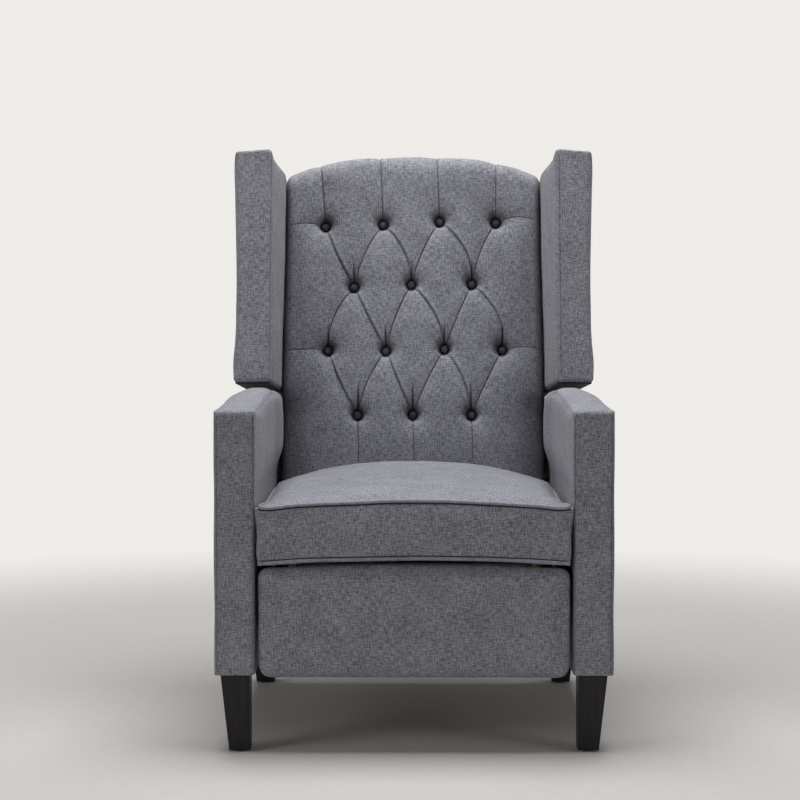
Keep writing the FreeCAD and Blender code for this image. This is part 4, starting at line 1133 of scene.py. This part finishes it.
def nearest(places, line):
    """Distance from each place to a line of points, its sign for the side, and how far along (0 to 1)."""
    best = np.full(len(places), 1e9)
    side = np.ones(len(places))
    along = np.zeros(len(places))
    for i in range(len(line) - 1):
        a, d = line[i], line[i + 1] - line[i]
        t = np.clip(((places - a) @ d) / (d @ d), 0, 1)
        off = places - a - t[:, None] * d
        gap = np.linalg.norm(off, axis=1)
        closer = gap < best
        best[closer] = gap[closer]
        side[closer] = np.sign(d[0] * off[closer, 1] - d[1] * off[closer, 0])
        along[closer] = (i + t[closer]) / (len(line) - 1)
    return best, side, along


def button_gap(places):
    gaps = [np.linalg.norm(places - np.array(b), axis=1) for row in buttons for b in row]
    return np.min(gaps, axis=0)


# %% Pressing the cover in
WELL_DEPTH, WELL_RADIUS = 0.0240, 0.0132
DISH_DEPTH, DISH_RADIUS = 0.0075, 0.028
SHADE_ABOVE_BUTTON, SHADE_RADIUS = 0.0035, 0.0118
FOLD_DEPTH, FOLD_WIDTH, FOLD_BOTTOM_WIDTH = 0.0030, 0.009, 0.00075
LIP_HEIGHT, LIP_PLACE, LIP_WIDTH = 0.0024, 0.0042, 0.0026
CREASE_DEPTH, CREASE_WIDTH, CREASE_NARROWING = 0.0105, 0.0032, 0.0023


def press(places):
    """How far the cover is pressed in at each place of the face, in metres, and how much shade is painted
    there.
    """
    gap = button_gap(places)
    well = WELL_DEPTH * np.exp(-((gap / WELL_RADIUS) ** 2.8))
    well += DISH_DEPTH * np.exp(-((gap / DISH_RADIUS) ** 2))
    # Painted shade: a dark patch round each button, centred a little above it, where the upper side of the
    # well lies in shade.
    painted_shade = 0.92 * np.exp(-((button_gap(places - (0, SHADE_ABOVE_BUTTON)) / SHADE_RADIUS) ** 4))
    from_side = BACK_HALF - np.abs(places[:, 0])
    # Painted shade along both sides of the cushion, in the gap by the wings.
    painted_shade = np.maximum(painted_shade, 0.9 * (1 - smoothstep(from_side, 0.001, 0.011)))
    fold_depth = np.zeros(len(places))
    lips = np.zeros(len(places))
    for line, start, end, lip in folds:
        near = np.nonzero(
            (places[:, 0] > line[:, 0].min() - 0.03) & (places[:, 0] < line[:, 0].max() + 0.03)
            & (places[:, 1] > line[:, 1].min() - 0.03) & (places[:, 1] < line[:, 1].max() + 0.03)
        )[0]
        away, side, along = nearest(places[near], line)
        strength = start + (end - start) * along
        sharp = np.exp(-((away / FOLD_BOTTOM_WIDTH) ** 2))
        valley = FOLD_DEPTH * np.exp(-((away / FOLD_WIDTH) ** 1.4)) + FOLD_DEPTH * sharp
        fold_depth[near] = np.maximum(fold_depth[near], valley * strength)
        # Painted shade along the sharp bottom of each fold.
        painted_shade[near] = np.maximum(painted_shade[near], 0.8 * sharp * strength)
        ends = np.sin(math.pi * np.clip(along, 0, 1)) ** 0.5
        on_side = side * np.sign(lip) > 0
        hump = np.exp(-(((away - LIP_PLACE) / LIP_WIDTH) ** 2))
        raised = LIP_HEIGHT * abs(lip) * hump * on_side * ends
        lips[near] = np.maximum(lips[near], raised)
    crease_depth = np.zeros(len(places))
    for line in creases:
        away, _, along = nearest(places, line)
        width = CREASE_WIDTH - CREASE_NARROWING * along
        narrow = (1 - along) ** 0.7 * np.exp(-((away / width) ** 2))
        crease_depth = np.maximum(crease_depth, CREASE_DEPTH * narrow)
        # Painted shade along each crease.
        painted_shade = np.maximum(painted_shade, 0.95 * narrow)
    return well + fold_depth + crease_depth - lips, painted_shade


# %% The shape under the folds
ROLL_WIDTH, ROLL_DEPTH = 0.022, 0.021
FOOT_CORNER_WIDTH, FOOT_CORNER_DEPTH = 0.078, 0.040
SIDE_BAND_WIDTH, SIDE_BAND_DEPTH = 0.032, 0.016


def from_edge(x, width):
    """0 further than the width from the cushion's side, and 1 at the side."""
    return np.clip((np.abs(x) - BACK_HALF + width) / width, 0, 1)


def face_depth(x):
    """Depth of the smooth face: a shallow crown that rolls in at both sides."""
    crown = crown_radius - np.sqrt(crown_radius**2 - x**2)
    return -CUSHION_CROWN + crown + ROLL_DEPTH * (1 - np.sqrt(1 - from_edge(x, ROLL_WIDTH) ** 2))


def top_height(x):
    return CUSHION_SIDE_TOP + CUSHION_ARCH * (1 - np.minimum(np.abs(x) / BACK_HALF, 1) ** 3.2)


def back_profile(x, run):
    """Place and outward direction on the smooth face, run metres up the face and then over the top."""
    corner = from_edge(x, FOOT_CORNER_WIDTH) ** 2 * (1 - smoothstep(run, 0.095, 0.175))
    edge = from_edge(x, SIDE_BAND_WIDTH) ** 2 * (1 - smoothstep(run, 0.38, 0.60))
    face = face_depth(x) + np.maximum(FOOT_CORNER_DEPTH * corner, SIDE_BAND_DEPTH * edge)
    lip = top_height(x) - CUSHION_LIP
    quarter = CUSHION_LIP * math.pi / 2
    turn = np.clip((run - lip) / CUSHION_LIP, 0, math.pi / 2)
    past = np.maximum(run - lip - quarter, 0)
    depth = face + CUSHION_LIP * (1 - np.cos(turn)) + past
    height = np.minimum(run, lip) + CUSHION_LIP * np.sin(turn)
    return depth, height, -np.cos(turn), np.sin(turn)


def run_end(x):
    return top_height(x) - CUSHION_LIP + CUSHION_LIP * math.pi / 2 + TOP_REAR - face_depth(x) - CUSHION_LIP


# %% Back block as cloth


def back_block():
    """The plain block: the smooth face and top, closed by a flat rear and sides."""
    columns = np.linspace(-BACK_HALF + 0.003, BACK_HALF - 0.003, 27)
    rings = []
    for x in columns:
        runs = np.linspace(CUSHION_FOOT, run_end(x) - 0.004, 50)
        depth, height, _, _ = back_profile(np.full(len(runs), x), runs)
        ring = [leaned(x, d + 0.004, h - 0.002) for d, h in zip(depth, height)]
        for h in np.linspace(height[-1] - 0.03, CUSHION_FOOT, 10):
            ring.append(leaned(x, TOP_REAR - 0.004 if h > 0.5 else 0.086, h))
        rings.append(ring)
    return loft("back_block", rings)


def back_held(points):
    x, depth, height = unleaned(points)
    places = np.stack([x, height], axis=1)
    held = 1 - smoothstep(button_gap(places), 0.014, 0.024)
    for line, _, _, _ in folds:
        away, _, _ = nearest(places, line)
        held = np.maximum(held, 0.95 * (1 - smoothstep(away, 0.005, 0.012)))
    rear = smoothstep(depth, 0.02, 0.05) * (1 - smoothstep(height, 0.5, 0.55))
    rim = smoothstep(np.abs(x), BACK_HALF - 0.016, BACK_HALF - 0.006)
    foot = 1 - smoothstep(height, CUSHION_FOOT + 0.005, CUSHION_FOOT + 0.02)
    return np.maximum.reduce([held, rear, rim, foot])


block = back_block()
puff(block, 0.006, 0.010, back_held)
block_skin = surface_of(block)
print("block points", len(block.data.vertices))

# %% Fine sheet


def fine_places():
    """A grid over the face, with more points near the folds and the buttons."""
    edit = bmesh.new()
    columns, rows = 130, 178
    grid = []
    for j in range(rows + 1):
        line = []
        for i in range(columns + 1):
            x = -BACK_HALF + 2 * BACK_HALF * i / columns
            line.append(edit.verts.new((x, CUSHION_FOOT + (float(run_end(x)) - CUSHION_FOOT) * j / rows, 0)))
        grid.append(line)
    for j in range(rows):
        for i in range(columns):
            edit.faces.new((grid[j][i], grid[j][i + 1], grid[j + 1][i + 1], grid[j + 1][i]))
    for reach in (0.010, 0.0055, 0.0022):
        edit.verts.index_update()
        places = np.array([v.co[:2] for v in edit.verts])
        close = button_gap(places) < reach + 0.012 if reach > 0.003 else np.zeros(len(places), bool)
        for line in [fold[0] for fold in folds] + creases:
            away, _, _ = nearest(places, line)
            close |= away < reach
        near = [e for e in edit.edges if close[e.verts[0].index] and close[e.verts[1].index]]
        bmesh.ops.subdivide_edges(edit, edges=near, cuts=1, use_grid_fill=True)
    mesh = bpy.data.meshes.new("back_cushion_cover")
    edit.to_mesh(mesh)
    edit.free()
    return mesh


# %% Laying the sheet on the block
sheet_mesh = fine_places()
flat = points_of(sheet_mesh)
x, run = flat[:, 0], flat[:, 1]
depth, height, out_depth, out_height = back_profile(x, run)
fold_gap = np.minimum(button_gap(flat[:, :2]), 9.0)
for fold in folds:
    fold_gap = np.minimum(fold_gap, nearest(flat[:, :2], fold[0])[0])
lobe = np.sin(math.pi * (x + TUFT_PITCH / 2) / TUFT_PITCH) ** 2
scallop = 0.0018 * lobe * smoothstep(run, 0.50, 0.585) * (1 - smoothstep(np.abs(x), 0.235, 0.26))
pressed, painted_shade = press(flat[:, :2])
inside = smoothstep(BACK_HALF - np.abs(x), 0.006, 0.034)
inside *= 1 - smoothstep(depth, TOP_REAR - 0.05, TOP_REAR - 0.02)
placed = np.zeros((len(flat), 3))
for i in range(len(flat)):
    base = leaned(x[i], depth[i], height[i])
    out = leaned(x[i], depth[i] + out_depth[i], height[i] + out_height[i]) - base
    spot, _, _, _ = block_skin.ray_cast(base + out * 0.04, -out, 0.09)
    spot = base.lerp(spot, inside[i]) if spot is not None else base
    placed[i] = spot + out * (scallop[i] - pressed[i])
narrowing = TOP_NARROWING * smoothstep(height, 0.10, 0.60) * smoothstep(np.abs(x), 0.20, BACK_HALF)
placed[:, 0] -= np.sign(x) * narrowing
set_points(sheet_mesh, placed)
# The painted shade is stored on the sheet's points, and the cloth finish reads it.
sheet_mesh.attributes.new("painted_crevice_shade", "FLOAT", "POINT").data.foreach_set("value", painted_shade)
back_cushion = bpy.data.objects.new("back_cushion_cover", sheet_mesh)
scene.collection.objects.link(back_cushion)
bpy.data.objects.remove(block)
soften(back_cushion, 0.0007, 0.05)
print("tufted face points", len(placed))

# %% Closing the back cushion
# The sheet is given its sides and rear: the rim is carried back to the frame and closed there.


def close_sheet(piece, frame_depth):
    """Draws the rim back to the depth of the frame and closes it there."""
    with editing(piece) as edit:
        rim = [e for e in edit.edges if len(e.link_faces) == 1]
        made = bmesh.ops.extrude_edge_only(edit, edges=rim)["geom"]
        for v in made:
            if isinstance(v, bmesh.types.BMVert):
                x, depth, height = (a[0] for a in unleaned(np.array([tuple(v.co)])))
                v.co = leaned(float(x), max(float(depth), frame_depth), float(height))
        bmesh.ops.contextual_create(edit, geom=[e for e in edit.edges if len(e.link_faces) == 1])
        bmesh.ops.recalc_face_normals(edit, faces=edit.faces)


close_sheet(back_cushion, 0.087)
dress(back_cushion, upholstery, "back", ["back_cushion"])

# %% [markdown]
# ## The buttons
#
# Each button is a domed shell covered in the same cloth, painted much darker as shade. The dome is revolved
# from a short outline, and faint gathers run down its side, where the cloth is pulled under the rim.

# %% Covered buttons
BUTTON_RADIUS, BUTTON_SEAT, GATHERS = 0.0076, 0.0245, 9
outline = (
    (0.0, 0.0056), (0.0023, 0.0055), (0.0044, 0.0048), (0.0061, 0.0035), (0.0072, 0.0017),
    (BUTTON_RADIUS, 0.0), (0.0070, -0.0022),
)
sides = 28
button_points, button_faces = [], []
for row in buttons:
    for bx, bh in row:
        seat_depth = float(face_depth(bx)) + BUTTON_SEAT
        centre = len(button_points)
        button_points.append(leaned(bx, seat_depth - outline[0][1], bh))
        for radius, rise in outline[1:]:
            for k in range(sides):
                turn = 2 * math.pi * k / sides
                gather = 1 + 0.03 * math.cos(turn * GATHERS) * (radius / BUTTON_RADIUS) ** 4
                reach = radius * gather
                button_points.append(
                    leaned(bx + reach * math.cos(turn), seat_depth - rise, bh + reach * math.sin(turn))
                )
        for k in range(sides):
            m = (k + 1) % sides
            button_faces.append((centre, centre + 1 + m, centre + 1 + k))
            for ring in range(len(outline) - 2):
                a, b = centre + 1 + ring * sides, centre + 1 + (ring + 1) * sides
                button_faces.append((a + k, a + m, b + m, b + k))
button_set = mesh_piece("tuft_buttons", button_points, button_faces)
dress(button_set, button_cloth_painted_shade, "back", ["back_buttons"])
print("buttons made", sum(len(row) for row in buttons))

# %% [markdown]
# ## The wings
#
# A wing is a board with padding on all sides. Its front is a narrow panel as wide as the board and its foam,
# its inner side slants in to meet the back cushion, and its top is square to the lean of the back. Sections
# from the bottom to the top follow that: the bottom one slopes a little and the top one is tilted like the
# back. The lowest part is a little wider, as the cover is pulled round the board's foot.

# %% Wing section
WING_REACH_LOW, WING_REACH_TOP = 0.142, 0.168
WING_SLANT_DEPTH, WING_REAR_DEPTH = -0.1136, 0.1348
wing_front_low = BACK_PLANE_Y + (WING_LOW_Z - BACK_PLANE_Z) * math.tan(LEAN) - WING_REACH_LOW
wing_front_top = BACK_PLANE_Y + (WING_TOP_Z - BACK_PLANE_Z) * math.tan(LEAN) - WING_REACH_TOP
WING_INNER_FACE = WING_OUTER - 0.070


def wing_ring(share):
    """Outline of the wing in a plane that tilts from a slight slope to the lean of the back."""
    y_front = wing_front_low + (wing_front_top - wing_front_low) * share
    z_front = WING_LOW_Z + (WING_TOP_Z - WING_LOW_Z) * share
    tilt = WING_LOW_SLOPE + (math.tan(LEAN) - WING_LOW_SLOPE) * share
    waist = 0.0050 * float(smoothstep(share, 0.02, 0.24))
    outer = WING_OUTER - waist + 0.0070 * float(smoothstep(share, 0.35, 1.0))

    def on_plane(depth):
        rise = z_front + y_front * tilt - BACK_PLANE_Z
        y = BACK_PLANE_Y + depth / math.cos(LEAN) + rise * math.tan(LEAN)
        return y / (1 + tilt * math.tan(LEAN))

    inner = BACK_HALF + 0.0006 - TOP_NARROWING * float(smoothstep(z_front, 0.60, 1.02))
    plan = [
        (outer, y_front),
        (WING_INNER_FACE, y_front),
        (WING_INNER_FACE, on_plane(WING_SLANT_DEPTH)),
        (inner, on_plane(0.0)),
        (inner, on_plane(WING_REAR_DEPTH)),
        (outer, on_plane(WING_REAR_DEPTH)),
    ]
    sunk = 0.007 * max(0.0, 1 - share * 12)
    return [
        Vector((x, y, z_front - (y - y_front) * tilt - (sunk if x < WING_INNER_FACE else 0))) for x, y in plan
    ]


# %% Wing as cloth
wing_right = loft("wing_right_cover", [wing_ring(share) for share in np.linspace(0, 1, 9)])
round_edges(wing_right, 0.007, 3, 25)
cut_into_cells(wing_right, (0.014, 0.018, 0.018))


def wing_held(points):
    x, y, z = points.T
    depth = unleaned(points)[1]
    rear = smoothstep(depth, 0.1, 0.13)
    share = (z - WING_LOW_Z) / (WING_TOP_Z - WING_LOW_Z)
    front = wing_front_low + (wing_front_top - wing_front_low) * share
    seam = 1 - smoothstep(np.abs(y - front - 0.006), 0.004, 0.014)
    seam = seam * (1 - smoothstep(np.abs(x - WING_INNER_FACE), 0.004, 0.012))
    foot = 1 - smoothstep(z - WING_LOW_Z + (y - wing_front_low) * WING_LOW_SLOPE, 0.006, 0.02)
    by_the_back = (1 - smoothstep(x, BACK_HALF + 0.002, BACK_HALF + 0.01)) * smoothstep(depth, -0.02, 0.0)
    return np.maximum.reduce([rear, seam, foot, by_the_back])


puff(wing_right, 0, 0.0035, wing_held, pressure=3.0, frames=12)
subdivide(wing_right)
soften(wing_right, 0.0009, 0.06)
wing_left = mirror_copy(wing_right, "wing_left_cover")
for wing, node in ((wing_right, "wing_right"), (wing_left, "wing_left")):
    dress(wing, upholstery, "back", [node])
print("wing points", len(wing_right.data.vertices))

# %% [markdown]
# Under each wing the raw edges of the cover are hidden by a thin black dust cloth, stapled inside the rim. It
# is cut from the same section as the wing's foot, a little smaller.

# %% Dust cloth under the wings
foot_points = [Vector(p) for p in wing_ring(0.0)]
foot_middle = sum(foot_points, Vector()) / len(foot_points)
for side in (1, -1):
    rings = []
    for drop in (0.0022, -0.0010):
        inset = [foot_middle + (p - foot_middle) * 0.93 - Vector((0, 0, drop)) for p in foot_points]
        rings.append([Vector((side * p.x, p.y, p.z)) for p in inset])
    cover = loft(f"wing_dust_cloth_{'right' if side > 0 else 'left'}", rings)
    round_edges(cover, 0.0008, 2, 40)
    cut_into_cells(cover, (0.02, 0.02, 0))
    dress(cover, dust_cloth_and_seam_shade, "back")
print("dust cloths made")

# %% Wing seams
for side, wing in ((1, wing_right), (-1, wing_left)):
    name = "wing_right" if side > 0 else "wing_left"
    skin = surface_of(wing)
    inner_seam = ("inner", WING_INNER_FACE + 0.0045 + side * 0.0035, (-0.0028, 0.003))
    outer_seam = ("outer", WING_OUTER - 0.0085, (0.0,))
    for label, x, rows in (inner_seam, outer_seam):
        line = [
            (side * x, wing_front_low, WING_LOW_Z + 0.012),
            (side * x, wing_front_top, WING_TOP_Z - 0.012),
        ]
        rows = [row * side for row in rows]
        grooved = label == "inner"
        topstitched_seam(f"{name}_front_{label}", skin, line, (0, -1, 0.1), "back", rows, groove=grooved)
print("wing seams laid")

# %% [markdown]
# ## The outside back, the side covers and the rear board
#
# Behind, a flat panel closes the chair. It is wide behind the wings, narrow between the arms and arched along
# the top. Covers close the back's sides down to the arms, and a covered board joins the arms low at the rear.

# %% Outside back panel
ARCH_FOOT, ARCH_RISE = 0.5944, 0.034
arch = [
    (x, ARCH_FOOT + ARCH_RISE * (1 - (x / BACK_HALF) ** 2)) for x in np.linspace(BACK_HALF, -BACK_HALF, 31)
]
wing_foot = (0.5930 - BACK_PLANE_Z + 0.147 * math.sin(LEAN)) / math.cos(LEAN)
BETWEEN_ARMS, PANEL_FOOT, STEP_X, STEP_DROP = 0.2672, -0.104, 0.302, 0.016
right_side = [(BETWEEN_ARMS, PANEL_FOOT)]
right_side += [(x, wing_foot - STEP_DROP) for x in (BETWEEN_ARMS, STEP_X)]
right_side += [(WING_OUTER - 0.0055, wing_foot), (WING_OUTER - 0.0055, ARCH_FOOT)]
shield = right_side + arch + [(-x, h) for x, h in right_side[::-1]]
panel = loft("outside_back_cover", [[leaned(x, depth, h) for x, h in shield] for depth in (0.1354, 0.1515)])
round_edges(panel, 0.005, 3, 40)
cut_into_cells(panel, (0.02, 0, 0.02))
points = points_of(panel.data)
x, depth, height = unleaned(points)
rear_face = smoothstep(depth, 0.146, 0.1512)
swell = 0.0068 * (1 - (np.abs(x) / WING_OUTER) ** 2)
depth = depth + rear_face * swell
points = np.array([leaned(*row) for row in zip(x, depth, height)])
set_points(panel.data, points)
subdivide(panel)
soften(panel, 0.0008, 0.11)
dress(panel, upholstery, "back", ["back_panel"])

# %% Side covers and rear board
COVER_INNER, COVER_OUTER, COVER_TOP_Z = 0.2565, 0.2598, 0.6065
for side in (1, -1):
    name = "right" if side > 0 else "left"
    rows = []
    for depth in (0.0885, 0.135):
        low = CUSHION_FOOT
        high = (COVER_TOP_Z - BACK_PLANE_Z + depth * math.sin(LEAN)) / math.cos(LEAN)
        corners = ((COVER_INNER, low), (COVER_OUTER, low), (COVER_OUTER, high), (COVER_INNER, high))
        rows.append([leaned(side * x, depth, h) for x, h in corners])
    cover = loft(f"back_side_cover_{name}", rows)
    round_edges(cover, 0.0012, 2, 40)
    cut_into_cells(cover, (0, 0.012, 0.02))
    dress(cover, upholstery, "back", ["back_side_covers"] if side > 0 else [])

board_low, board_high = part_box("rear_board")
rear_board = box_form("rear_board_cover", board_low, board_high, 1)
round_edges(rear_board, 0.005, 3, 40)
cut_into_cells(rear_board, (0.03, 0, 0.02))
soften(rear_board, 0.0008, 0.07)
dress(rear_board, upholstery, "base", ["rear_board"])
print("rear covers made")

# %% [markdown]
# ## Felt and webbing
#
# A felt sheet keeps the springs from wearing into the cushion, and elastic straps behind the back cushion
# carry the sitter's weight. Both are thin cloth goods: the felt is made a little uneven, and each strap has
# rolled edges.

# %% Felt and webbing
felt_low, felt_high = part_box("seat_felt")
felt = box_form("seat_felt_sheet", felt_low, felt_high, 2)
cut_into_cells(felt, (0.02, 0.02, 0))
soften(felt, 0.0007, 0.03)
dress(felt, needled_felt, "seat", ["seat_felt"])

STRAPS, STRAP_LENGTH, STRAP_WIDTH, STRAP_THICK = 4, 0.512, 0.050, 0.0014
STRAP_DEPTH, STRAP_SAG, STRAP_PITCH = 0.0882, 0.0007, (0.5524 - 0.060) / 5
section = (
    (0.0, 0.0), (-0.0003, 0.002), (-0.0003, STRAP_WIDTH - 0.002), (0.0, STRAP_WIDTH),
    (STRAP_THICK, STRAP_WIDTH), (STRAP_THICK, 0.0),
)
for index in range(STRAPS):
    height = (index + 1) * STRAP_PITCH
    rings = []
    for x in np.linspace(-STRAP_LENGTH / 2, STRAP_LENGTH / 2, 33):
        depth = STRAP_DEPTH + STRAP_SAG * math.sin(math.pi * (x / STRAP_LENGTH + 0.5))
        rings.append([leaned(x, depth + deeper, height + up) for deeper, up in section])
    strap = loft(f"back_webbing_{index}", rings)
    dress(strap, elastic_webbing, "back", ["back_webbing"] if index == 0 else [])
print("felt and webbing made")

# %% [markdown]
# ## Finishing the rigid parts
#
# Legs, rails, links and rivets keep their CAD shape. A small bevel catches the light along their edges, as a
# real edge does, and each gets the finish of its trade: stained wood, raw pine, painted or plated steel.

# %% Rigid finishes
rigid = {
    leg_stain: ("front_legs", "rear_legs"),
    pine_across: (
        "base_cross_rail", "footrest_board", "seat_front_rail", "seat_rear_rail", "back_top_rail",
        "back_bottom_rail",
    ),
    pine_deep: ("arm_bottom_rails", "arm_top_rails", "seat_side_rails"),
    pine_up: ("arm_front_posts", "arm_rear_posts", "back_side_rails", "wing_boards"),
    black_steel: (
        "mechanism_rails", "swing_brackets", "back_hinge_brackets", "swing_links", "footrest_crank_links",
        "footrest_lift_links", "footrest_bell_links", "footrest_guide_links", "footrest_brackets",
        "seat_side_plates", "back_hinge_plates", "back_hinge_spacers",
    ),
    zinc_steel: (
        "leg_bolts", "mechanism_bolts", "base_pivot_pins", "crank_pins", "lift_pins", "footrest_pins",
        "seat_pivot_pins", "seat_springs",
    ),
    black_plastic: ("leg_glides",),
}
edge_sizes = {leg_stain: 0.0012, black_steel: 0.0003, zinc_steel: 0.0002, black_plastic: 0.0005}
for finish, names in rigid.items():
    for name in names:
        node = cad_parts[name]
        node.data.materials.clear()
        node.data.materials.append(finish)
        bevel = node.modifiers.new("edge", "BEVEL")
        bevel.width = edge_sizes.get(finish, 0.0008)
        bevel.segments = 2
        bevel.limit_method = "ANGLE"
        bevel.angle_limit = math.radians(40)
print("rigid nodes finished", sum(len(names) for names in rigid.values()))

# %% [markdown]
# ## Floor, backdrop and light
#
# The chair stands on a plain pale floor in even studio light. A large soft lamp overhead lights the seat and
# the arm tops most. Two lower lamps at the sides light the fronts, and the arms keep part of their light from
# the lowest part of the back. A weak world light fills the shadows. The backdrop is pale only where the
# camera, a mirror or glass looks at it.

# %% Floor
BACKDROP = (0.86, 0.84, 0.81, 1.0)
floor = mesh_piece("floor", [(-6, -6, 0), (6, -6, 0), (6, 6, 0), (-6, 6, 0)], [(0, 1, 2, 3)])
floor_finish, tree, shader, where = start_material("pale_floor")
speck = put(tree, "ShaderNodeTexNoise", {"Vector": where["Object"], "Scale": 40.0, "Detail": 4.0}).outputs[0]
paint = two_colours(tree, speck, (0.49, 0.472, 0.452), (0.54, 0.522, 0.50))
tree.links.new(paint, shader.inputs["Base Color"])
shader.inputs["Roughness"].default_value = 0.85
spread = put(tree, "ShaderNodeVectorMath", {0: where["Object"]}, operation="LENGTH").outputs["Value"]
seen = put(tree, "ShaderNodeLightPath").outputs["Is Camera Ray"]
away = put(
    tree, "ShaderNodeMapRange", {0: spread, 1: 0.9, 2: 2.6}, interpolation_type="SMOOTHSTEP",
).outputs[0]
far = math_node(tree, "MULTIPLY", away, seen)
glow = put(tree, "ShaderNodeEmission", {"Color": BACKDROP}).outputs[0]
faded = put(tree, "ShaderNodeMixShader", {0: far, 1: shader.outputs[0], 2: glow}).outputs[0]
tree.links.new(faded, tree.nodes["Material Output"].inputs["Surface"])
floor.data.materials.append(floor_finish)
print("floor", floor.name)

# %% World light and lamps
world = bpy.data.worlds.new("studio")
world.use_nodes = True
scene.world = world
tree = world.node_tree
tree.nodes.clear()
rays = put(tree, "ShaderNodeLightPath").outputs
mirrored = math_node(tree, "MULTIPLY", rays["Is Glossy Ray"], 0.3)
through = math_node(tree, "MAXIMUM", mirrored, rays["Is Transmission Ray"])
seen = math_node(tree, "MAXIMUM", rays["Is Camera Ray"], through)
fill = put(tree, "ShaderNodeBackground", {"Color": (0.93, 0.96, 1.0, 1.0), "Strength": 0.13}).outputs[0]
drop = put(tree, "ShaderNodeBackground", {"Color": BACKDROP, "Strength": 1.0}).outputs[0]
mixed = put(tree, "ShaderNodeMixShader", {0: seen, 1: fill, 2: drop}).outputs[0]
put(tree, "ShaderNodeOutputWorld", {"Surface": mixed})


def softbox(name, place, aim, size, power):
    lamp = bpy.data.lights.new(name, "AREA")
    lamp.shape = "RECTANGLE"
    lamp.size, lamp.size_y = size
    lamp.energy = power
    lamp_object = bpy.data.objects.new(name, lamp)
    scene.collection.objects.link(lamp_object)
    lamp_object.location = place
    lamp_object.rotation_mode = "QUATERNION"
    lamp_object.rotation_quaternion = (Vector(aim) - Vector(place)).to_track_quat("-Z", "Y")
    return lamp_object


softbox("overhead", (0.0, 0.05, 3.0), (0, -0.07, 0.4), (2.0, 1.6), 105)
softbox("front_left", (-3.0, -2.2, 1.2), (0, 0, 0.6), (1.6, 1.3), 33)
softbox("front_right", (3.0, -2.2, 1.1), (0, 0, 0.6), (1.6, 1.3), 21)
scene.view_settings.view_transform = "Standard"
